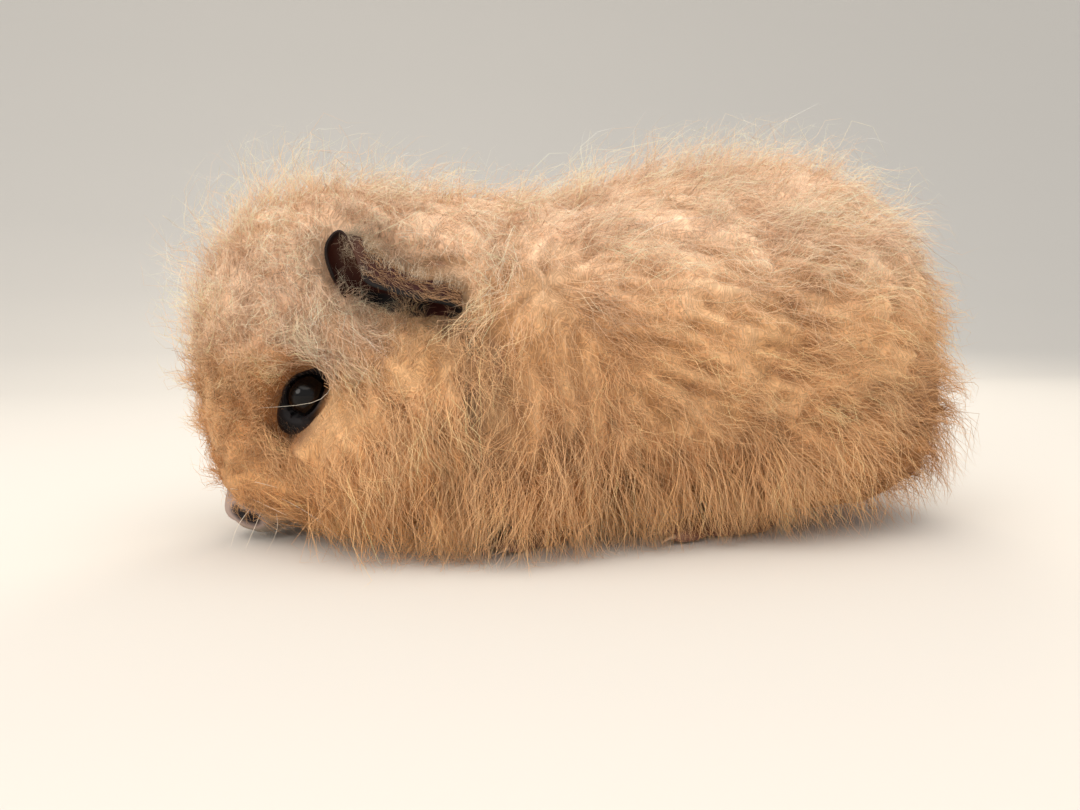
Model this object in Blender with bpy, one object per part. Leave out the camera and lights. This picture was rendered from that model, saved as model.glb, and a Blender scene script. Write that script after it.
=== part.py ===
"""A life-size still model of a young woolly guinea pig, resting on its four feet.

Frame: metres, +Z up, the head towards -X and the animal's left side towards -Y. The origin is
on the floor, under the middle of the body. The solids are the outer surface of the coat, out
to its tips. The eyes, nose, ears, feet and claws are their bare shapes.

The coat is blocked out from overlapping ellipsoids, fused by a voxel remesh and smoothed. It
is then parted into head, jaw, neck, trunk and legs by thin cuts, and opened where the eyes,
ears, nose and feet sit.
"""

import math

import bmesh
import bpy
from mathutils import Euler, Matrix, Vector
from mathutils.bvhtree import BVHTree

MM = 0.001

# Driving dimensions.
LENGTH = 197 * MM  # forehead to rump, coat and all
WIDTH = 99 * MM  # across the flanks, coat and all
HEIGHT = 98 * MM  # floor to the tips of the coat over the rump
COAT_CLEARANCE = 0.6 * MM  # under the hanging coat
EYE_RADIUS = 4.7 * MM
EAR_THICKNESS = 1.3 * MM
GAP = 0.3 * MM  # between pieces that meet
HEAD_FACET = 5.8 * MM
TRUNK_FACET = 8.8 * MM
FOOT_FACET = 2.35 * MM

# Places on the left side. The right side mirrors them.
EYE = Vector((-68.8, -16.2, 33.8)) * MM
EAR_ROOT = Vector((-51.0, -16.5, 54.2)) * MM
NOSE = Vector((-87.3, 0.0, 8.6)) * MM

# Each lump of the coat: its centre and its radii, as shares of the half length, half width
# and height. A lump whose centre is off the middle has a twin on the other side.
COAT_LUMPS = {
    "chest": ((-0.17, 0.0, 0.44), (0.43, 0.86, 0.44)),
    "barrel": ((0.23, 0.0, 0.49), (0.50, 0.98, 0.49)),
    "rump": ((0.47, 0.0, 0.50), (0.48, 1.0, 0.49)),
    "seat": ((0.63, 0.0, 0.39), (0.38, 0.84, 0.38)),
    "haunch": ((0.54, 0.54, 0.26), (0.36, 0.44, 0.26)),
    "skirt": ((0.12, 0.34, 0.22), (0.62, 0.56, 0.21)),
    "shoulder": ((-0.22, 0.36, 0.36), (0.28, 0.54, 0.30)),
    "forearm": ((-0.19, 0.64, 0.13), (0.13, 0.26, 0.13)),
    "nape": ((-0.36, 0.0, 0.58), (0.34, 0.66, 0.29)),
    "skull": ((-0.60, 0.0, 0.48), (0.355, 0.62, 0.40)),
    "crown": ((-0.63, 0.0, 0.66), (0.31, 0.58, 0.22)),
    "forehead": ((-0.775, 0.0, 0.50), (0.227, 0.54, 0.27)),
    "bridge": ((-0.83, 0.0, 0.33), (0.155, 0.38, 0.25)),
    "cheek": ((-0.50, 0.48, 0.22), (0.25, 0.40, 0.21)),
    "cheek_hem": ((-0.50, 0.63, 0.09), (0.23, 0.28, 0.10)),
    "whisker_pad": ((-0.775, 0.12, 0.115), (0.13, 0.21, 0.11)),
    "throat": ((-0.56, 0.0, 0.12), (0.25, 0.56, 0.115)),
}

# Where the coat is short it lies in a hollow: the bottom of the hollow and its radius.
COAT_HOLLOWS = (
    (Vector((-69.2, -16.0, 33.5)) * MM, 13.5 * MM),
    (Vector((-52.5, -17.0, 57.0)) * MM, 19.0 * MM),
)

# Thin cuts across the coat: a point on the cut, and how far it leans from upright.
HEAD_CUT = (Vector((-33.0, 0.0, 45.0)) * MM, math.radians(-7))
NECK_CUT = (Vector((-13.0, 0.0, 45.0)) * MM, math.radians(-4))

# The mouth line: its front end, its rise towards the throat, and how far and wide the jaw is.
MOUTH = Vector((-81.0, 0.0, 3.4)) * MM
MOUTH_RISE = math.radians(16)
JAW_LENGTH = 21.0 * MM
JAW_WIDTH = 22.0 * MM

# The legs' share of the coat: the middle and the radii of the oval that parts each one.
FORELEG = (Vector((-16.5, -35.0, 13.0)) * MM, Vector((11.5, 16.0, 17.0)) * MM)
HINDLEG = (Vector((50.0, -41.0, 24.0)) * MM, Vector((30.0, 19.0, 25.0)) * MM)

# The ear is a thin petal, cupped towards the floor. Each column runs from its root over its
# middle to its rim. The columns go from the front edge, over the upright front lobe and the
# drooping flap, to the back edge.
EAR_COLUMNS = (
    ((-60.0, -18.0, 54.0), (-61.2, -20.5, 55.5), (-61.5, -22.5, 57.0)),
    ((-59.5, -17.0, 55.0), (-63.0, -20.5, 58.5), (-64.1, -24.5, 61.5)),
    ((-58.0, -17.0, 55.5), (-61.5, -21.0, 62.5), (-61.0, -26.0, 67.4)),
    ((-55.5, -17.0, 55.5), (-57.5, -22.0, 61.5), (-57.4, -27.5, 63.6)),
    ((-52.0, -17.0, 55.0), (-52.5, -23.0, 59.3), (-53.1, -29.5, 59.8)),
    ((-48.5, -17.0, 54.5), (-47.5, -25.0, 58.0), (-47.3, -31.5, 57.6)),
    ((-45.5, -17.0, 54.0), (-42.0, -25.5, 57.0), (-39.9, -31.5, 56.9)),
    ((-44.0, -17.5, 53.0), (-39.5, -25.0, 54.5), (-37.7, -30.0, 53.9)),
    ((-44.5, -18.0, 52.0), (-41.0, -23.5, 51.0), (-39.1, -27.0, 50.4)),
)
EAR_STEPS_ALONG, EAR_STEPS_OUT = 12, 2
EAR_BASE = Vector((8.0, 2.6, 2.8)) * MM  # radii of the thick base that holds the petal

# The nose pad and its nostrils: radii, and the left nostril's place on the pad.
NOSE_PAD = Vector((3.4, 5.2, 3.6)) * MM
NOSE_LEAN = Euler((0.0, math.radians(-25), 0.0))
NOSTRIL = Vector((1.6, 0.8, 1.1)) * MM
NOSTRIL_OFFSET = Vector((-2.6, -2.2, -0.6)) * MM

# Each foot on the left: its heel, the length, width and height of its sole, and for each toe
# the angle off straight ahead, the length in millimetres and the place across the sole.
FOREFOOT = {
    "heel": Vector((-17.0, -30.5, 0.0)) * MM,
    "sole": (10.0 * MM, 7.5 * MM, 6.6 * MM),
    "toes": ((-24, 5.5, -0.36), (-8, 7.4, -0.13), (8, 7.6, 0.13), (26, 5.8, 0.36)),
    "toe_radius": 1.25 * MM,
    "claw": 3.2 * MM,
}
HINDFOOT = {
    "heel": Vector((36.0, -32.0, 0.0)) * MM,
    "sole": (24.0 * MM, 8.6 * MM, 7.0 * MM),
    "toes": ((-14, 8.2, -0.32), (0, 9.6, 0.0), (15, 8.0, 0.32)),
    "toe_radius": 1.5 * MM,
    "claw": 4.0 * MM,
}
CLAW_ROOT = 0.8 * MM  # the length of each claw that is inside its toe
CLAW_SHARE = 0.5  # the claw's thickness at its root, as a share of its toe's
CLAW_BEND = math.radians(-8)  # at each of its three joints
CLAW_TAPER = (0.78, 0.66, 0.42)

COAT_BUFF = (0.78, 0.50, 0.27)
FOOT_SKIN = (0.62, 0.37, 0.25)
DARK_SKIN = (0.055, 0.035, 0.030)
EYE_BLACK = (0.012, 0.008, 0.007)


def clear_scene():
    for obj in list(bpy.data.objects):
        bpy.data.objects.remove(obj)


def material(name, colour, roughness):
    made = bpy.data.materials.new(name)
    made.use_nodes = True
    shader = made.node_tree.nodes["Principled BSDF"]
    shader.inputs["Base Color"].default_value = (*colour, 1.0)
    shader.inputs["Roughness"].default_value = roughness
    shader.inputs["Metallic"].default_value = 0.0
    made.diffuse_color = (*colour, 1.0)
    return made


def add_object(name, mesh, finish):
    obj = bpy.data.objects.new(name, mesh)
    bpy.context.scene.collection.objects.link(obj)
    mesh.materials.clear()
    mesh.materials.append(finish)
    mesh.shade_smooth()
    return obj


def add_helper(name, mesh):
    obj = bpy.data.objects.new(name, mesh)
    bpy.context.scene.collection.objects.link(obj)
    obj.hide_render = True
    obj.display_type = "WIRE"
    return obj


def both_sides(mesh):
    """The mesh of the left side, and its mirror image for the right."""
    yield "left", mesh
    other = mesh.copy()
    other.transform(Matrix.Scale(-1, 4, Vector((0, 1, 0))))
    other.flip_normals()
    yield "right", other


def add_pair(name, mesh, finish):
    return {
        side: add_object(f"{name}_{side}", half, finish) for side, half in both_sides(mesh)
    }


def boolean(obj, operation, other):
    """All meshes here are closed, so the manifold solver cuts where the exact one fails."""
    step = obj.modifiers.new(f"{operation.lower()}_{other.name}", "BOOLEAN")
    step.operation = operation
    step.object = other
    step.solver = "MANIFOLD"


def cut_pair(bodies, name, mesh):
    """Takes the shape, and its mirror image, out of each body."""
    for side, half in both_sides(mesh):
        cutter = add_helper(f"{name}_{side}", half)
        for body in bodies:
            boolean(body, "DIFFERENCE", cutter)


def mesh_of(bm, name):
    mesh = bpy.data.meshes.new(name)
    bm.to_mesh(mesh)
    bm.free()
    return mesh


def evaluated_mesh(obj):
    graph = bpy.context.evaluated_depsgraph_get()
    return bpy.data.meshes.new_from_object(obj.evaluated_get(graph))


def add_ellipsoid(bm, centre, radii, turn=None, segments=32):
    turn = (turn or Euler()).to_matrix().to_4x4()
    place = Matrix.Translation(centre) @ turn @ Matrix.Diagonal((*radii, 1.0))
    bmesh.ops.create_uvsphere(
        bm, u_segments=segments, v_segments=segments // 2, radius=1.0, matrix=place
    )


def ellipsoid(name, centre, radii, turn=None, segments=16):
    bm = bmesh.new()
    add_ellipsoid(bm, centre, radii, turn, segments)
    return mesh_of(bm, name)


def grown(radii):
    return radii + Vector((GAP, GAP, GAP))


def pocket(*meshes):
    """The room that a piece takes out of the coat: its convex hull, grown by the gap."""
    bm = bmesh.new()
    for mesh in meshes:
        for vertex in mesh.vertices:
            bm.verts.new(vertex.co)
    bmesh.ops.convex_hull(bm, input=bm.verts)
    inner = [v for v in bm.verts if not v.link_faces]
    bmesh.ops.delete(bm, geom=inner, context="VERTS")
    bm.normal_update()
    places = [v.co + v.normal * GAP * 1.2 for v in bm.verts]
    for vertex, place in zip(bm.verts, places):
        vertex.co = place
    return mesh_of(bm, "pocket")


def fused(mesh, facet, smoothing):
    """The mesh's overlapping shells as one skin of even quads."""
    rough = add_helper("rough_blockout", mesh)
    remesh = rough.modifiers.new("fuse", "REMESH")
    remesh.mode = "VOXEL"
    remesh.voxel_size = facet
    skin = evaluated_mesh(rough)
    bpy.data.objects.remove(rough)
    bm = bmesh.new()
    bm.from_mesh(skin)
    for _ in range(smoothing):
        bmesh.ops.smooth_vert(
            bm, verts=bm.verts, factor=0.5, use_axis_x=True, use_axis_y=True, use_axis_z=True
        )
    bm.to_mesh(skin)
    bm.free()
    return skin


def coat_blockout():
    half = Vector((LENGTH / 2, WIDTH / 2, HEIGHT))
    bm = bmesh.new()
    for at, size in COAT_LUMPS.values():
        x, y, z = (share * side for share, side in zip(at, half))
        radii = Vector([share * side for share, side in zip(size, half)])
        for across in sorted({y, -y}):
            add_ellipsoid(bm, Vector((x, across, z)), radii)
    return mesh_of(bm, "coat_blockout")


def fit_to_box(mesh):
    """Stretches the fused coat to the driving dimensions, as smoothing shrinks it a little."""
    points = [v.co for v in mesh.vertices]
    low = [min(p[axis] for p in points) for axis in range(3)]
    high = [max(p[axis] for p in points) for axis in range(3)]
    wanted_low = (-LENGTH / 2, -WIDTH / 2, COAT_CLEARANCE)
    wanted_high = (LENGTH / 2, WIDTH / 2, HEIGHT)
    for vertex in mesh.vertices:
        for axis in range(3):
            share = (vertex.co[axis] - low[axis]) / (high[axis] - low[axis])
            room = wanted_high[axis] - wanted_low[axis]
            vertex.co[axis] = wanted_low[axis] + share * room


def press_hollows(mesh):
    """Presses the coat in towards the middle of the body round each eye and ear."""
    for vertex in mesh.vertices:
        for bottom, radius in COAT_HOLLOWS:
            away = math.hypot(vertex.co.x - bottom.x, vertex.co.z - bottom.z) / radius
            too_far_out = abs(vertex.co.y) - abs(bottom.y)
            if away < 1.0 and too_far_out > 0.0:
                press = too_far_out * (1.0 - away**2) ** 2
                vertex.co.y -= math.copysign(press, vertex.co.y)


def coat(facet):
    """The whole coat as one mesh, in facets of about the given width."""
    skin = fused(coat_blockout(), facet, smoothing=3)
    fit_to_box(skin)
    press_hollows(skin)
    return skin


def add_box_helper(name, place, size):
    bm = bmesh.new()
    bmesh.ops.create_cube(bm, size=1.0, matrix=place @ Matrix.Diagonal((*size, 1.0)))
    return add_helper(name, mesh_of(bm, name))


def side_of_cut(name, cut, side):
    """A box that fills one side of a cut, and stops half a gap short of it."""
    point, lean = cut
    reach = 2 * LENGTH
    aside = Matrix.Translation(Vector((side * (reach + GAP) / 2, 0.0, 0.0)))
    place = Matrix.Translation(point) @ Matrix.Rotation(lean, 4, "Y") @ aside
    return add_box_helper(name, place, (reach, reach, reach))


def jaw_box(name, grow):
    """The room under the mouth line, from in front of the lips back to the throat."""
    ahead, tall = 30 * MM, 30 * MM
    length = ahead + JAW_LENGTH + grow
    middle = Vector((JAW_LENGTH + grow - length / 2, 0.0, grow - tall / 2))
    turn = Matrix.Rotation(-MOUTH_RISE, 4, "Y")
    place = Matrix.Translation(MOUTH) @ turn @ Matrix.Translation(middle)
    return add_box_helper(name, place, (length, JAW_WIDTH + 2 * grow, tall))


def build_head_and_body(broad):
    """Head, jaw, neck and trunk: copies of the coat, each cut down to its own share."""
    finish = bpy.data.materials["coat"]
    fine = coat(HEAD_FACET)
    head = add_object("head", fine.copy(), finish)
    jaw = add_object("lower_jaw", fine.copy(), finish)
    neck = add_object("neck", broad.copy(), finish)
    trunk = add_object("trunk", broad.copy(), finish)
    boolean(head, "INTERSECT", side_of_cut("before_head_cut", HEAD_CUT, -1))
    boolean(head, "DIFFERENCE", jaw_box("jaw_room", GAP))
    boolean(jaw, "INTERSECT", jaw_box("jaw_share", 0.0))
    boolean(neck, "INTERSECT", side_of_cut("behind_head_cut", HEAD_CUT, 1))
    boolean(neck, "INTERSECT", side_of_cut("before_neck_cut", NECK_CUT, -1))
    boolean(trunk, "INTERSECT", side_of_cut("behind_neck_cut", NECK_CUT, 1))
    return head, neck, trunk


def through_points(points, share):
    """A smooth curve through the points, at a share from 0 to 1 of the way along."""
    spot = share * (len(points) - 1)
    i = min(int(spot), len(points) - 2)
    t = spot - i
    a, b = points[i], points[i + 1]
    slope_a = (b - points[max(i - 1, 0)]) / 2
    slope_b = (points[min(i + 2, len(points) - 1)] - a) / 2
    return (
        a * (2 * t**3 - 3 * t**2 + 1)
        + slope_a * (t**3 - 2 * t**2 + t)
        + b * (3 * t**2 - 2 * t**3)
        + slope_b * (t**3 - t**2)
    )


def ear_petal():
    """The petal: a grid laid through the ear's columns, then given its thickness."""
    rows = list(zip(*[[Vector(p) * MM for p in column] for column in EAR_COLUMNS]))
    bm = bmesh.new()
    bmesh.ops.create_grid(
        bm, x_segments=EAR_STEPS_ALONG, y_segments=EAR_STEPS_OUT, size=0.5
    )
    for vertex in bm.verts:
        along, out = vertex.co.x + 0.5, vertex.co.y + 0.5
        root, middle, rim = (through_points(row, along) for row in rows)
        bulge = middle - (root + rim) / 2
        vertex.co = root.lerp(rim, out) + bulge * 4 * out * (1 - out)
    sheet = add_helper("ear_sheet", mesh_of(bm, "ear_petal"))
    wall = sheet.modifiers.new("wall", "SOLIDIFY")
    wall.thickness = EAR_THICKNESS
    wall.offset = 0.0
    petal = evaluated_mesh(sheet)
    bpy.data.objects.remove(sheet)
    return petal


def build_ears(head):
    """Each ear is a petal joined to a thick base, and the head has room for both."""
    flesh = material("ear_skin", DARK_SKIN, 0.6)
    petal = ear_petal()
    base = ellipsoid("ear_base", EAR_ROOT, EAR_BASE, segments=10)
    cut_pair([head], "ear_pocket", pocket(petal, base))
    ears = add_pair("ear", petal, flesh)
    for side, half in both_sides(base):
        boolean(ears[side], "UNION", add_helper(f"ear_base_{side}", half))


def build_eyes(head):
    """A ball in each socket."""
    size = Vector((EYE_RADIUS, EYE_RADIUS, EYE_RADIUS))
    ball = ellipsoid("eye", EYE, size, segments=12)
    add_pair("eye", ball, material("eye", EYE_BLACK, 0.05))
    socket = ellipsoid("eye_socket", EYE, grown(size), segments=12)
    cut_pair([head], "eye_socket", socket)


def build_nose(head):
    """The bare nose pad, with its two nostrils."""
    pad = ellipsoid("nose", NOSE, NOSE_PAD, NOSE_LEAN, segments=12)
    nose = add_object("nose", pad, material("nose_skin", DARK_SKIN, 0.5))
    room = ellipsoid("nose_room", NOSE, grown(NOSE_PAD), NOSE_LEAN, segments=12)
    boolean(head, "DIFFERENCE", add_helper("nose_room", room))
    hole = ellipsoid("nostril", NOSE + NOSTRIL_OFFSET, NOSTRIL, segments=8)
    cut_pair([nose], "nostril", hole)


def build_legs(name, oval, broad, bodies):
    """Each leg is the coat inside an oval, which the body around it gives up."""
    centre, radii = oval
    legs = add_pair(name, broad.copy(), bpy.data.materials["coat"])
    for side, half in both_sides(ellipsoid(f"{name}_oval", centre, radii)):
        boolean(legs[side], "INTERSECT", add_helper(f"{name}_oval_{side}", half))
    cut_pair(bodies, f"{name}_room", ellipsoid(f"{name}_room", centre, grown(radii)))
    return legs


def toe_rays(foot):
    """Each toe's root, its direction and its length, on the left foot."""
    length, width, _ = foot["sole"]
    for angle, reach, share in foot["toes"]:
        start = Vector((-0.82 * length, share * width, foot["toe_radius"]))
        turn = math.radians(angle)
        ahead = Vector((-math.cos(turn), math.sin(turn), 0.0))
        yield foot["heel"] + start, ahead, reach * MM


def foot_mesh(foot):
    """Sole, ankle and toes as ellipsoids, fused. Its underside dips below the floor."""
    length, width, height = foot["sole"]
    radius = foot["toe_radius"]
    bm = bmesh.new()
    sole = foot["heel"] + Vector((-length / 2, 0.0, height * 0.34))
    add_ellipsoid(bm, sole, Vector((length * 0.56, width / 2, height / 2)), segments=16)
    ankle = foot["heel"] + Vector((-length * 0.16, 0.0, height * 0.55))
    add_ellipsoid(bm, ankle, Vector((width * 0.62, width / 2, height / 2)), segments=16)
    for root, ahead, reach in toe_rays(foot):
        turn = Euler((0.0, 0.0, math.atan2(ahead.y, ahead.x)))
        radii = Vector((reach * 0.62, radius, radius * 1.2))
        add_ellipsoid(bm, root + ahead * reach * 0.38, radii, turn, segments=12)
    return fused(mesh_of(bm, "foot"), FOOT_FACET, smoothing=1)


def claw_mesh(start, ahead, foot):
    """A claw that narrows and bends down: a pentagon, extruded in three steps."""
    length, radius = foot["claw"] + CLAW_ROOT, foot["toe_radius"] * CLAW_SHARE
    bm = bmesh.new()
    facing = Vector((0, 0, 1)).rotation_difference(ahead).to_matrix().to_4x4()
    place = Matrix.Translation(start) @ facing
    bmesh.ops.create_circle(bm, cap_ends=True, segments=5, radius=radius, matrix=place)
    tip = list(bm.faces)
    bend = Matrix.Rotation(CLAW_BEND, 3, ahead.cross(Vector((0, 0, 1))).normalized())
    direction, centre = ahead.copy(), start.copy()
    for step, width in enumerate(CLAW_TAPER):
        made = bmesh.ops.extrude_face_region(bm, geom=tip)["geom"]
        verts = [v for v in made if isinstance(v, bmesh.types.BMVert)]
        if step:
            bmesh.ops.delete(bm, geom=tip, context="FACES_ONLY")
        tip = [f for f in made if isinstance(f, bmesh.types.BMFace)]
        direction = bend @ direction
        centre = centre + direction * length / len(CLAW_TAPER)
        bmesh.ops.translate(bm, verts=verts, vec=direction * length / len(CLAW_TAPER))
        bmesh.ops.scale(
            bm, verts=verts, vec=(width, width, width), space=Matrix.Translation(-centre)
        )
    bmesh.ops.recalc_face_normals(bm, faces=bm.faces)
    return mesh_of(bm, "claw")


def build_feet(name, foot, legs, bodies):
    """Two feet that stand flat on the floor, each one piece with the claws that grow from it."""
    whole = foot_mesh(foot)
    surface = BVHTree.FromPolygons(
        [v.co for v in whole.vertices], [tuple(p.vertices) for p in whole.polygons]
    )
    cut_pair([*bodies, *legs.values()], f"{name}_pocket", pocket(whole))
    feet = add_pair(name, whole, bpy.data.materials["foot_skin"])
    for count, (root, ahead, reach) in enumerate(toe_rays(foot), start=1):
        toe_tip = surface.ray_cast(root + ahead * LENGTH, -ahead)[0]
        claw = claw_mesh(toe_tip - ahead * CLAW_ROOT, ahead, foot)
        for side, half in both_sides(claw):
            boolean(feet[side], "UNION", add_helper(f"{name}_claw_{count}_{side}", half))
    for obj in feet.values():
        boolean(obj, "INTERSECT", bpy.data.objects["above_floor"])


def main():
    clear_scene()
    material("coat", COAT_BUFF, 0.9)
    material("foot_skin", FOOT_SKIN, 0.8)
    reach = 2 * LENGTH
    above = Matrix.Translation(Vector((0.0, 0.0, reach / 2)))
    add_box_helper("above_floor", above, (reach, reach, reach))

    broad = coat(TRUNK_FACET)
    head, neck, trunk = build_head_and_body(broad)
    build_ears(head)
    build_eyes(head)
    build_nose(head)
    forelegs = build_legs("foreleg", FORELEG, broad, [neck, trunk])
    hindlegs = build_legs("hindleg", HINDLEG, broad, [trunk])
    build_feet("forefoot", FOREFOOT, forelegs, [head, neck, trunk])
    build_feet("hindfoot", HINDFOOT, hindlegs, [trunk])


main()
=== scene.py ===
# %% [markdown]
# # A young woolly guinea pig
# The solids that come with this script are the outer surface of the coat: blocked out, closed
# and measured. Here they get their looks. A bare animal is modelled inside them, and a woolly
# coat of real mesh grows from its skin out to the surface that the solids give. Everything is
# in metres. The head points towards -X and the animal's left side towards -Y.

# %% Load the solids
import math

import bmesh
import bpy
import numpy as np
from mathutils import Matrix, Vector
from mathutils.bvhtree import BVHTree
from mathutils.kdtree import KDTree


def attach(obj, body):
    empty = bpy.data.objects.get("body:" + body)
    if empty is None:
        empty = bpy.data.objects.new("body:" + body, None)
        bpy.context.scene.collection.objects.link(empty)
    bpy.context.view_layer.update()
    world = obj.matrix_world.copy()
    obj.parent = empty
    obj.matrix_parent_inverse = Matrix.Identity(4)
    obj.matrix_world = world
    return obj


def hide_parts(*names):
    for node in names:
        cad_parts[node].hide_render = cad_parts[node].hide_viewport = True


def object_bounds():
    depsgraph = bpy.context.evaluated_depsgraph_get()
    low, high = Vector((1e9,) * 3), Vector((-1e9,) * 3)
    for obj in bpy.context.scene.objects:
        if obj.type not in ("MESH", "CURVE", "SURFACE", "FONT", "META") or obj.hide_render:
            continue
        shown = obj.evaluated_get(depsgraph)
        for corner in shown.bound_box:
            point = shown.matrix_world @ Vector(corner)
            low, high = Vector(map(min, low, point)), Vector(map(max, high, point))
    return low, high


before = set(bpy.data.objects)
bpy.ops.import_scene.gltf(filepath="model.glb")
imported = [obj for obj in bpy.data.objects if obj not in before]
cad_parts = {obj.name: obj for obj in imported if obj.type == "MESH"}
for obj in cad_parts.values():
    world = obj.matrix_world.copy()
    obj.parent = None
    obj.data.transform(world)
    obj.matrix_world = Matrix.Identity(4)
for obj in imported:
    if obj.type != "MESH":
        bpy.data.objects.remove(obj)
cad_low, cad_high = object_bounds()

MODELLED_LENGTH = 197.0
mm = (cad_high.x - cad_low.x) / MODELLED_LENGTH
print("solids:", [round(side / mm, 1) for side in cad_high - cad_low], "mm")

# %% [markdown]
# ## Colours
# Colours are written as sRGB hex, the way a paint chart gives them, and one function turns them into the
# linear values that Blender reckons with. This breed has one colour of coat, buff, which is paler, towards
# cream, higher up and deeper, towards ochre, lower down.

# %% Colours
def linear(code):
    """An sRGB hex colour as linear red, green and blue."""
    parts = [int(code[i : i + 2], 16) / 255 for i in (0, 2, 4)]
    return np.array([c / 12.92 if c <= 0.04045 else ((c + 0.055) / 1.055) ** 2.4 for c in parts])


CREAM = linear("FBDCC2")
BUFF = linear("EBC092")
OCHRE = linear("D8A066")
# Umber is painted shade, low on the rump and on the shoulder.
SHADE_UMBER = linear("A8713C")
ORANGE = linear("DD974F")
MUZZLE_GREY = linear("BBAFA2")
SLATE = linear("1B181A")
NEAR_EYE = linear("8A5427")
EAR_MAROON = linear("36140F")
EAR_BLACK = linear("0F0C0C")
EAR_TAN = linear("6E4A36")
NOSE_SKIN = linear("A8938A")
# Near-black for the painted shadow inside the nostrils and between the lips.
NOSTRIL_AND_LIP_SHADOW = linear("171010")
# The feet's colours are partly their own and partly darkened as painted shade under the coat.
SOLE_PINK_IN_SHADE = linear("8C6455")
FOOT_FUR_IN_SHADE = linear("6E4A34")

# %% [markdown]
# ## Camera, light and floor
# The camera stands low beside the animal's shoulder, close enough for the head to look larger
# than the rump. A wide, soft light overhead and a pale room stand in for an overcast sky,
# which is the kindest light for wool: every lock keeps its shade without a hard shadow.

# %% Camera
CAMERA_PLACE = Vector((-64.0, -190.0, 47.0)) * mm
CAMERA_TURN, CAMERA_DIP = math.radians(15.0), math.radians(5.27)
CAMERA_LENS = 26.0


def add_object(name, data):
    """Puts the data into the scene as an object at the origin."""
    thing = bpy.data.objects.new(name, data)
    bpy.context.scene.collection.objects.link(thing)
    return thing


view = bpy.data.cameras.new("camera")
view.lens = CAMERA_LENS
view.clip_start = 5 * mm
camera = add_object("camera", view)
camera.location = CAMERA_PLACE
camera.rotation_euler = (math.pi / 2 - CAMERA_DIP, 0.0, -CAMERA_TURN)
bpy.context.scene.camera = camera


# %% Helpers for materials
def add_node(tree, kind, inputs=None, **settings):
    """Adds a node, with its settings, and fills its sockets with values or with links."""
    node = tree.nodes.new(kind)
    for name, value in settings.items():
        setattr(node, name, value)
    for name, value in (inputs or {}).items():
        if isinstance(value, bpy.types.NodeSocket):
            tree.links.new(value, node.inputs[name])
        else:
            node.inputs[name].default_value = value
    return node


def new_finish(name, look, paint=None):
    """A material of one principled shader; paint names the colours laid on a piece's points."""
    finish = bpy.data.materials.new(name)
    finish.use_nodes = True
    tree = finish.node_tree
    tree.nodes.clear()
    shader = add_node(tree, "ShaderNodeBsdfPrincipled", look)
    add_node(tree, "ShaderNodeOutputMaterial", {"Surface": shader.outputs["BSDF"]})
    if paint:
        tone = add_node(tree, "ShaderNodeVertexColor", layer_name=paint)
        tree.links.new(tone.outputs["Color"], shader.inputs["Base Color"])
    return finish, tree, shader


def rgba(colour):
    return (*colour, 1.0)


# %% Floor and light
ROOM = 3.0
SWEEP_START, SWEEP_RADIUS = 0.5, 1.2
PALE_FLOOR, SKY = linear("D9D5CF"), linear("E5E4E2")
MIDDLE = Vector((0.0, 0.0, 45 * mm))
SOFTBOXES = {
    # name: (place, size, power, colour)
    "overhead": ((-0.1, -0.25, 0.75), 1.1, 5.3, "FFF6EA"),
    "window": ((-0.7, -0.45, 0.35), 0.4, 2.0, "FFF9F0"),
    "back": ((0.3, 0.65, 0.5), 0.5, 2.4, "FFF3E2"),
}


def mesh_of(bm, name):
    """Turns a finished bmesh into a mesh."""
    mesh = bpy.data.meshes.new(name)
    bm.to_mesh(mesh)
    bm.free()
    return mesh


def dress(mesh, finish):
    mesh.materials.clear()
    mesh.materials.append(finish)
    mesh.shade_smooth()


bm = bmesh.new()
bmesh.ops.create_grid(bm, x_segments=1, y_segments=24, size=ROOM)
for vertex in bm.verts:
    beyond = vertex.co.y - SWEEP_START
    if beyond > 0:
        turn = min(beyond / SWEEP_RADIUS, math.pi / 2)
        straight = max(beyond - SWEEP_RADIUS * math.pi / 2, 0.0)
        vertex.co.y = SWEEP_START + SWEEP_RADIUS * math.sin(turn)
        vertex.co.z = SWEEP_RADIUS * (1 - math.cos(turn)) + straight
floor = add_object("floor", mesh_of(bm, "floor"))
dress(floor.data, new_finish("matt_painted_board", {"Base Color": rgba(PALE_FLOOR), "Roughness": 0.9})[0])

world = bpy.data.worlds.new("pale_room")
world.use_nodes = True
world.node_tree.nodes.clear()
sky = add_node(world.node_tree, "ShaderNodeBackground", {"Color": rgba(SKY), "Strength": 1.0})
add_node(world.node_tree, "ShaderNodeOutputWorld", {"Surface": sky.outputs["Background"]})
bpy.context.scene.world = world

for name, (place, size, power, code) in SOFTBOXES.items():
    light = bpy.data.lights.new(name, "AREA")
    light.shape = "DISK"
    light.size = size
    light.energy = power
    light.color = tuple(linear(code))
    lamp = add_object(name, light)
    lamp.location = place
    lamp.rotation_euler = (Vector(place) - MIDDLE).to_track_quat("Z", "Y").to_euler()
bpy.context.scene.view_settings.view_transform = "Standard"

# %% [markdown]
# ## The bare animal
# Under its wool a guinea pig is a smooth pear with a long wedge of a head. The body is blocked
# out from overlapping ellipsoids, as a sculptor builds up clay, and a voxel remesh fuses them
# into one even skin. The lumps are listed as centre and radii in millimetres; any lump off the
# middle gets its twin.

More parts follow.
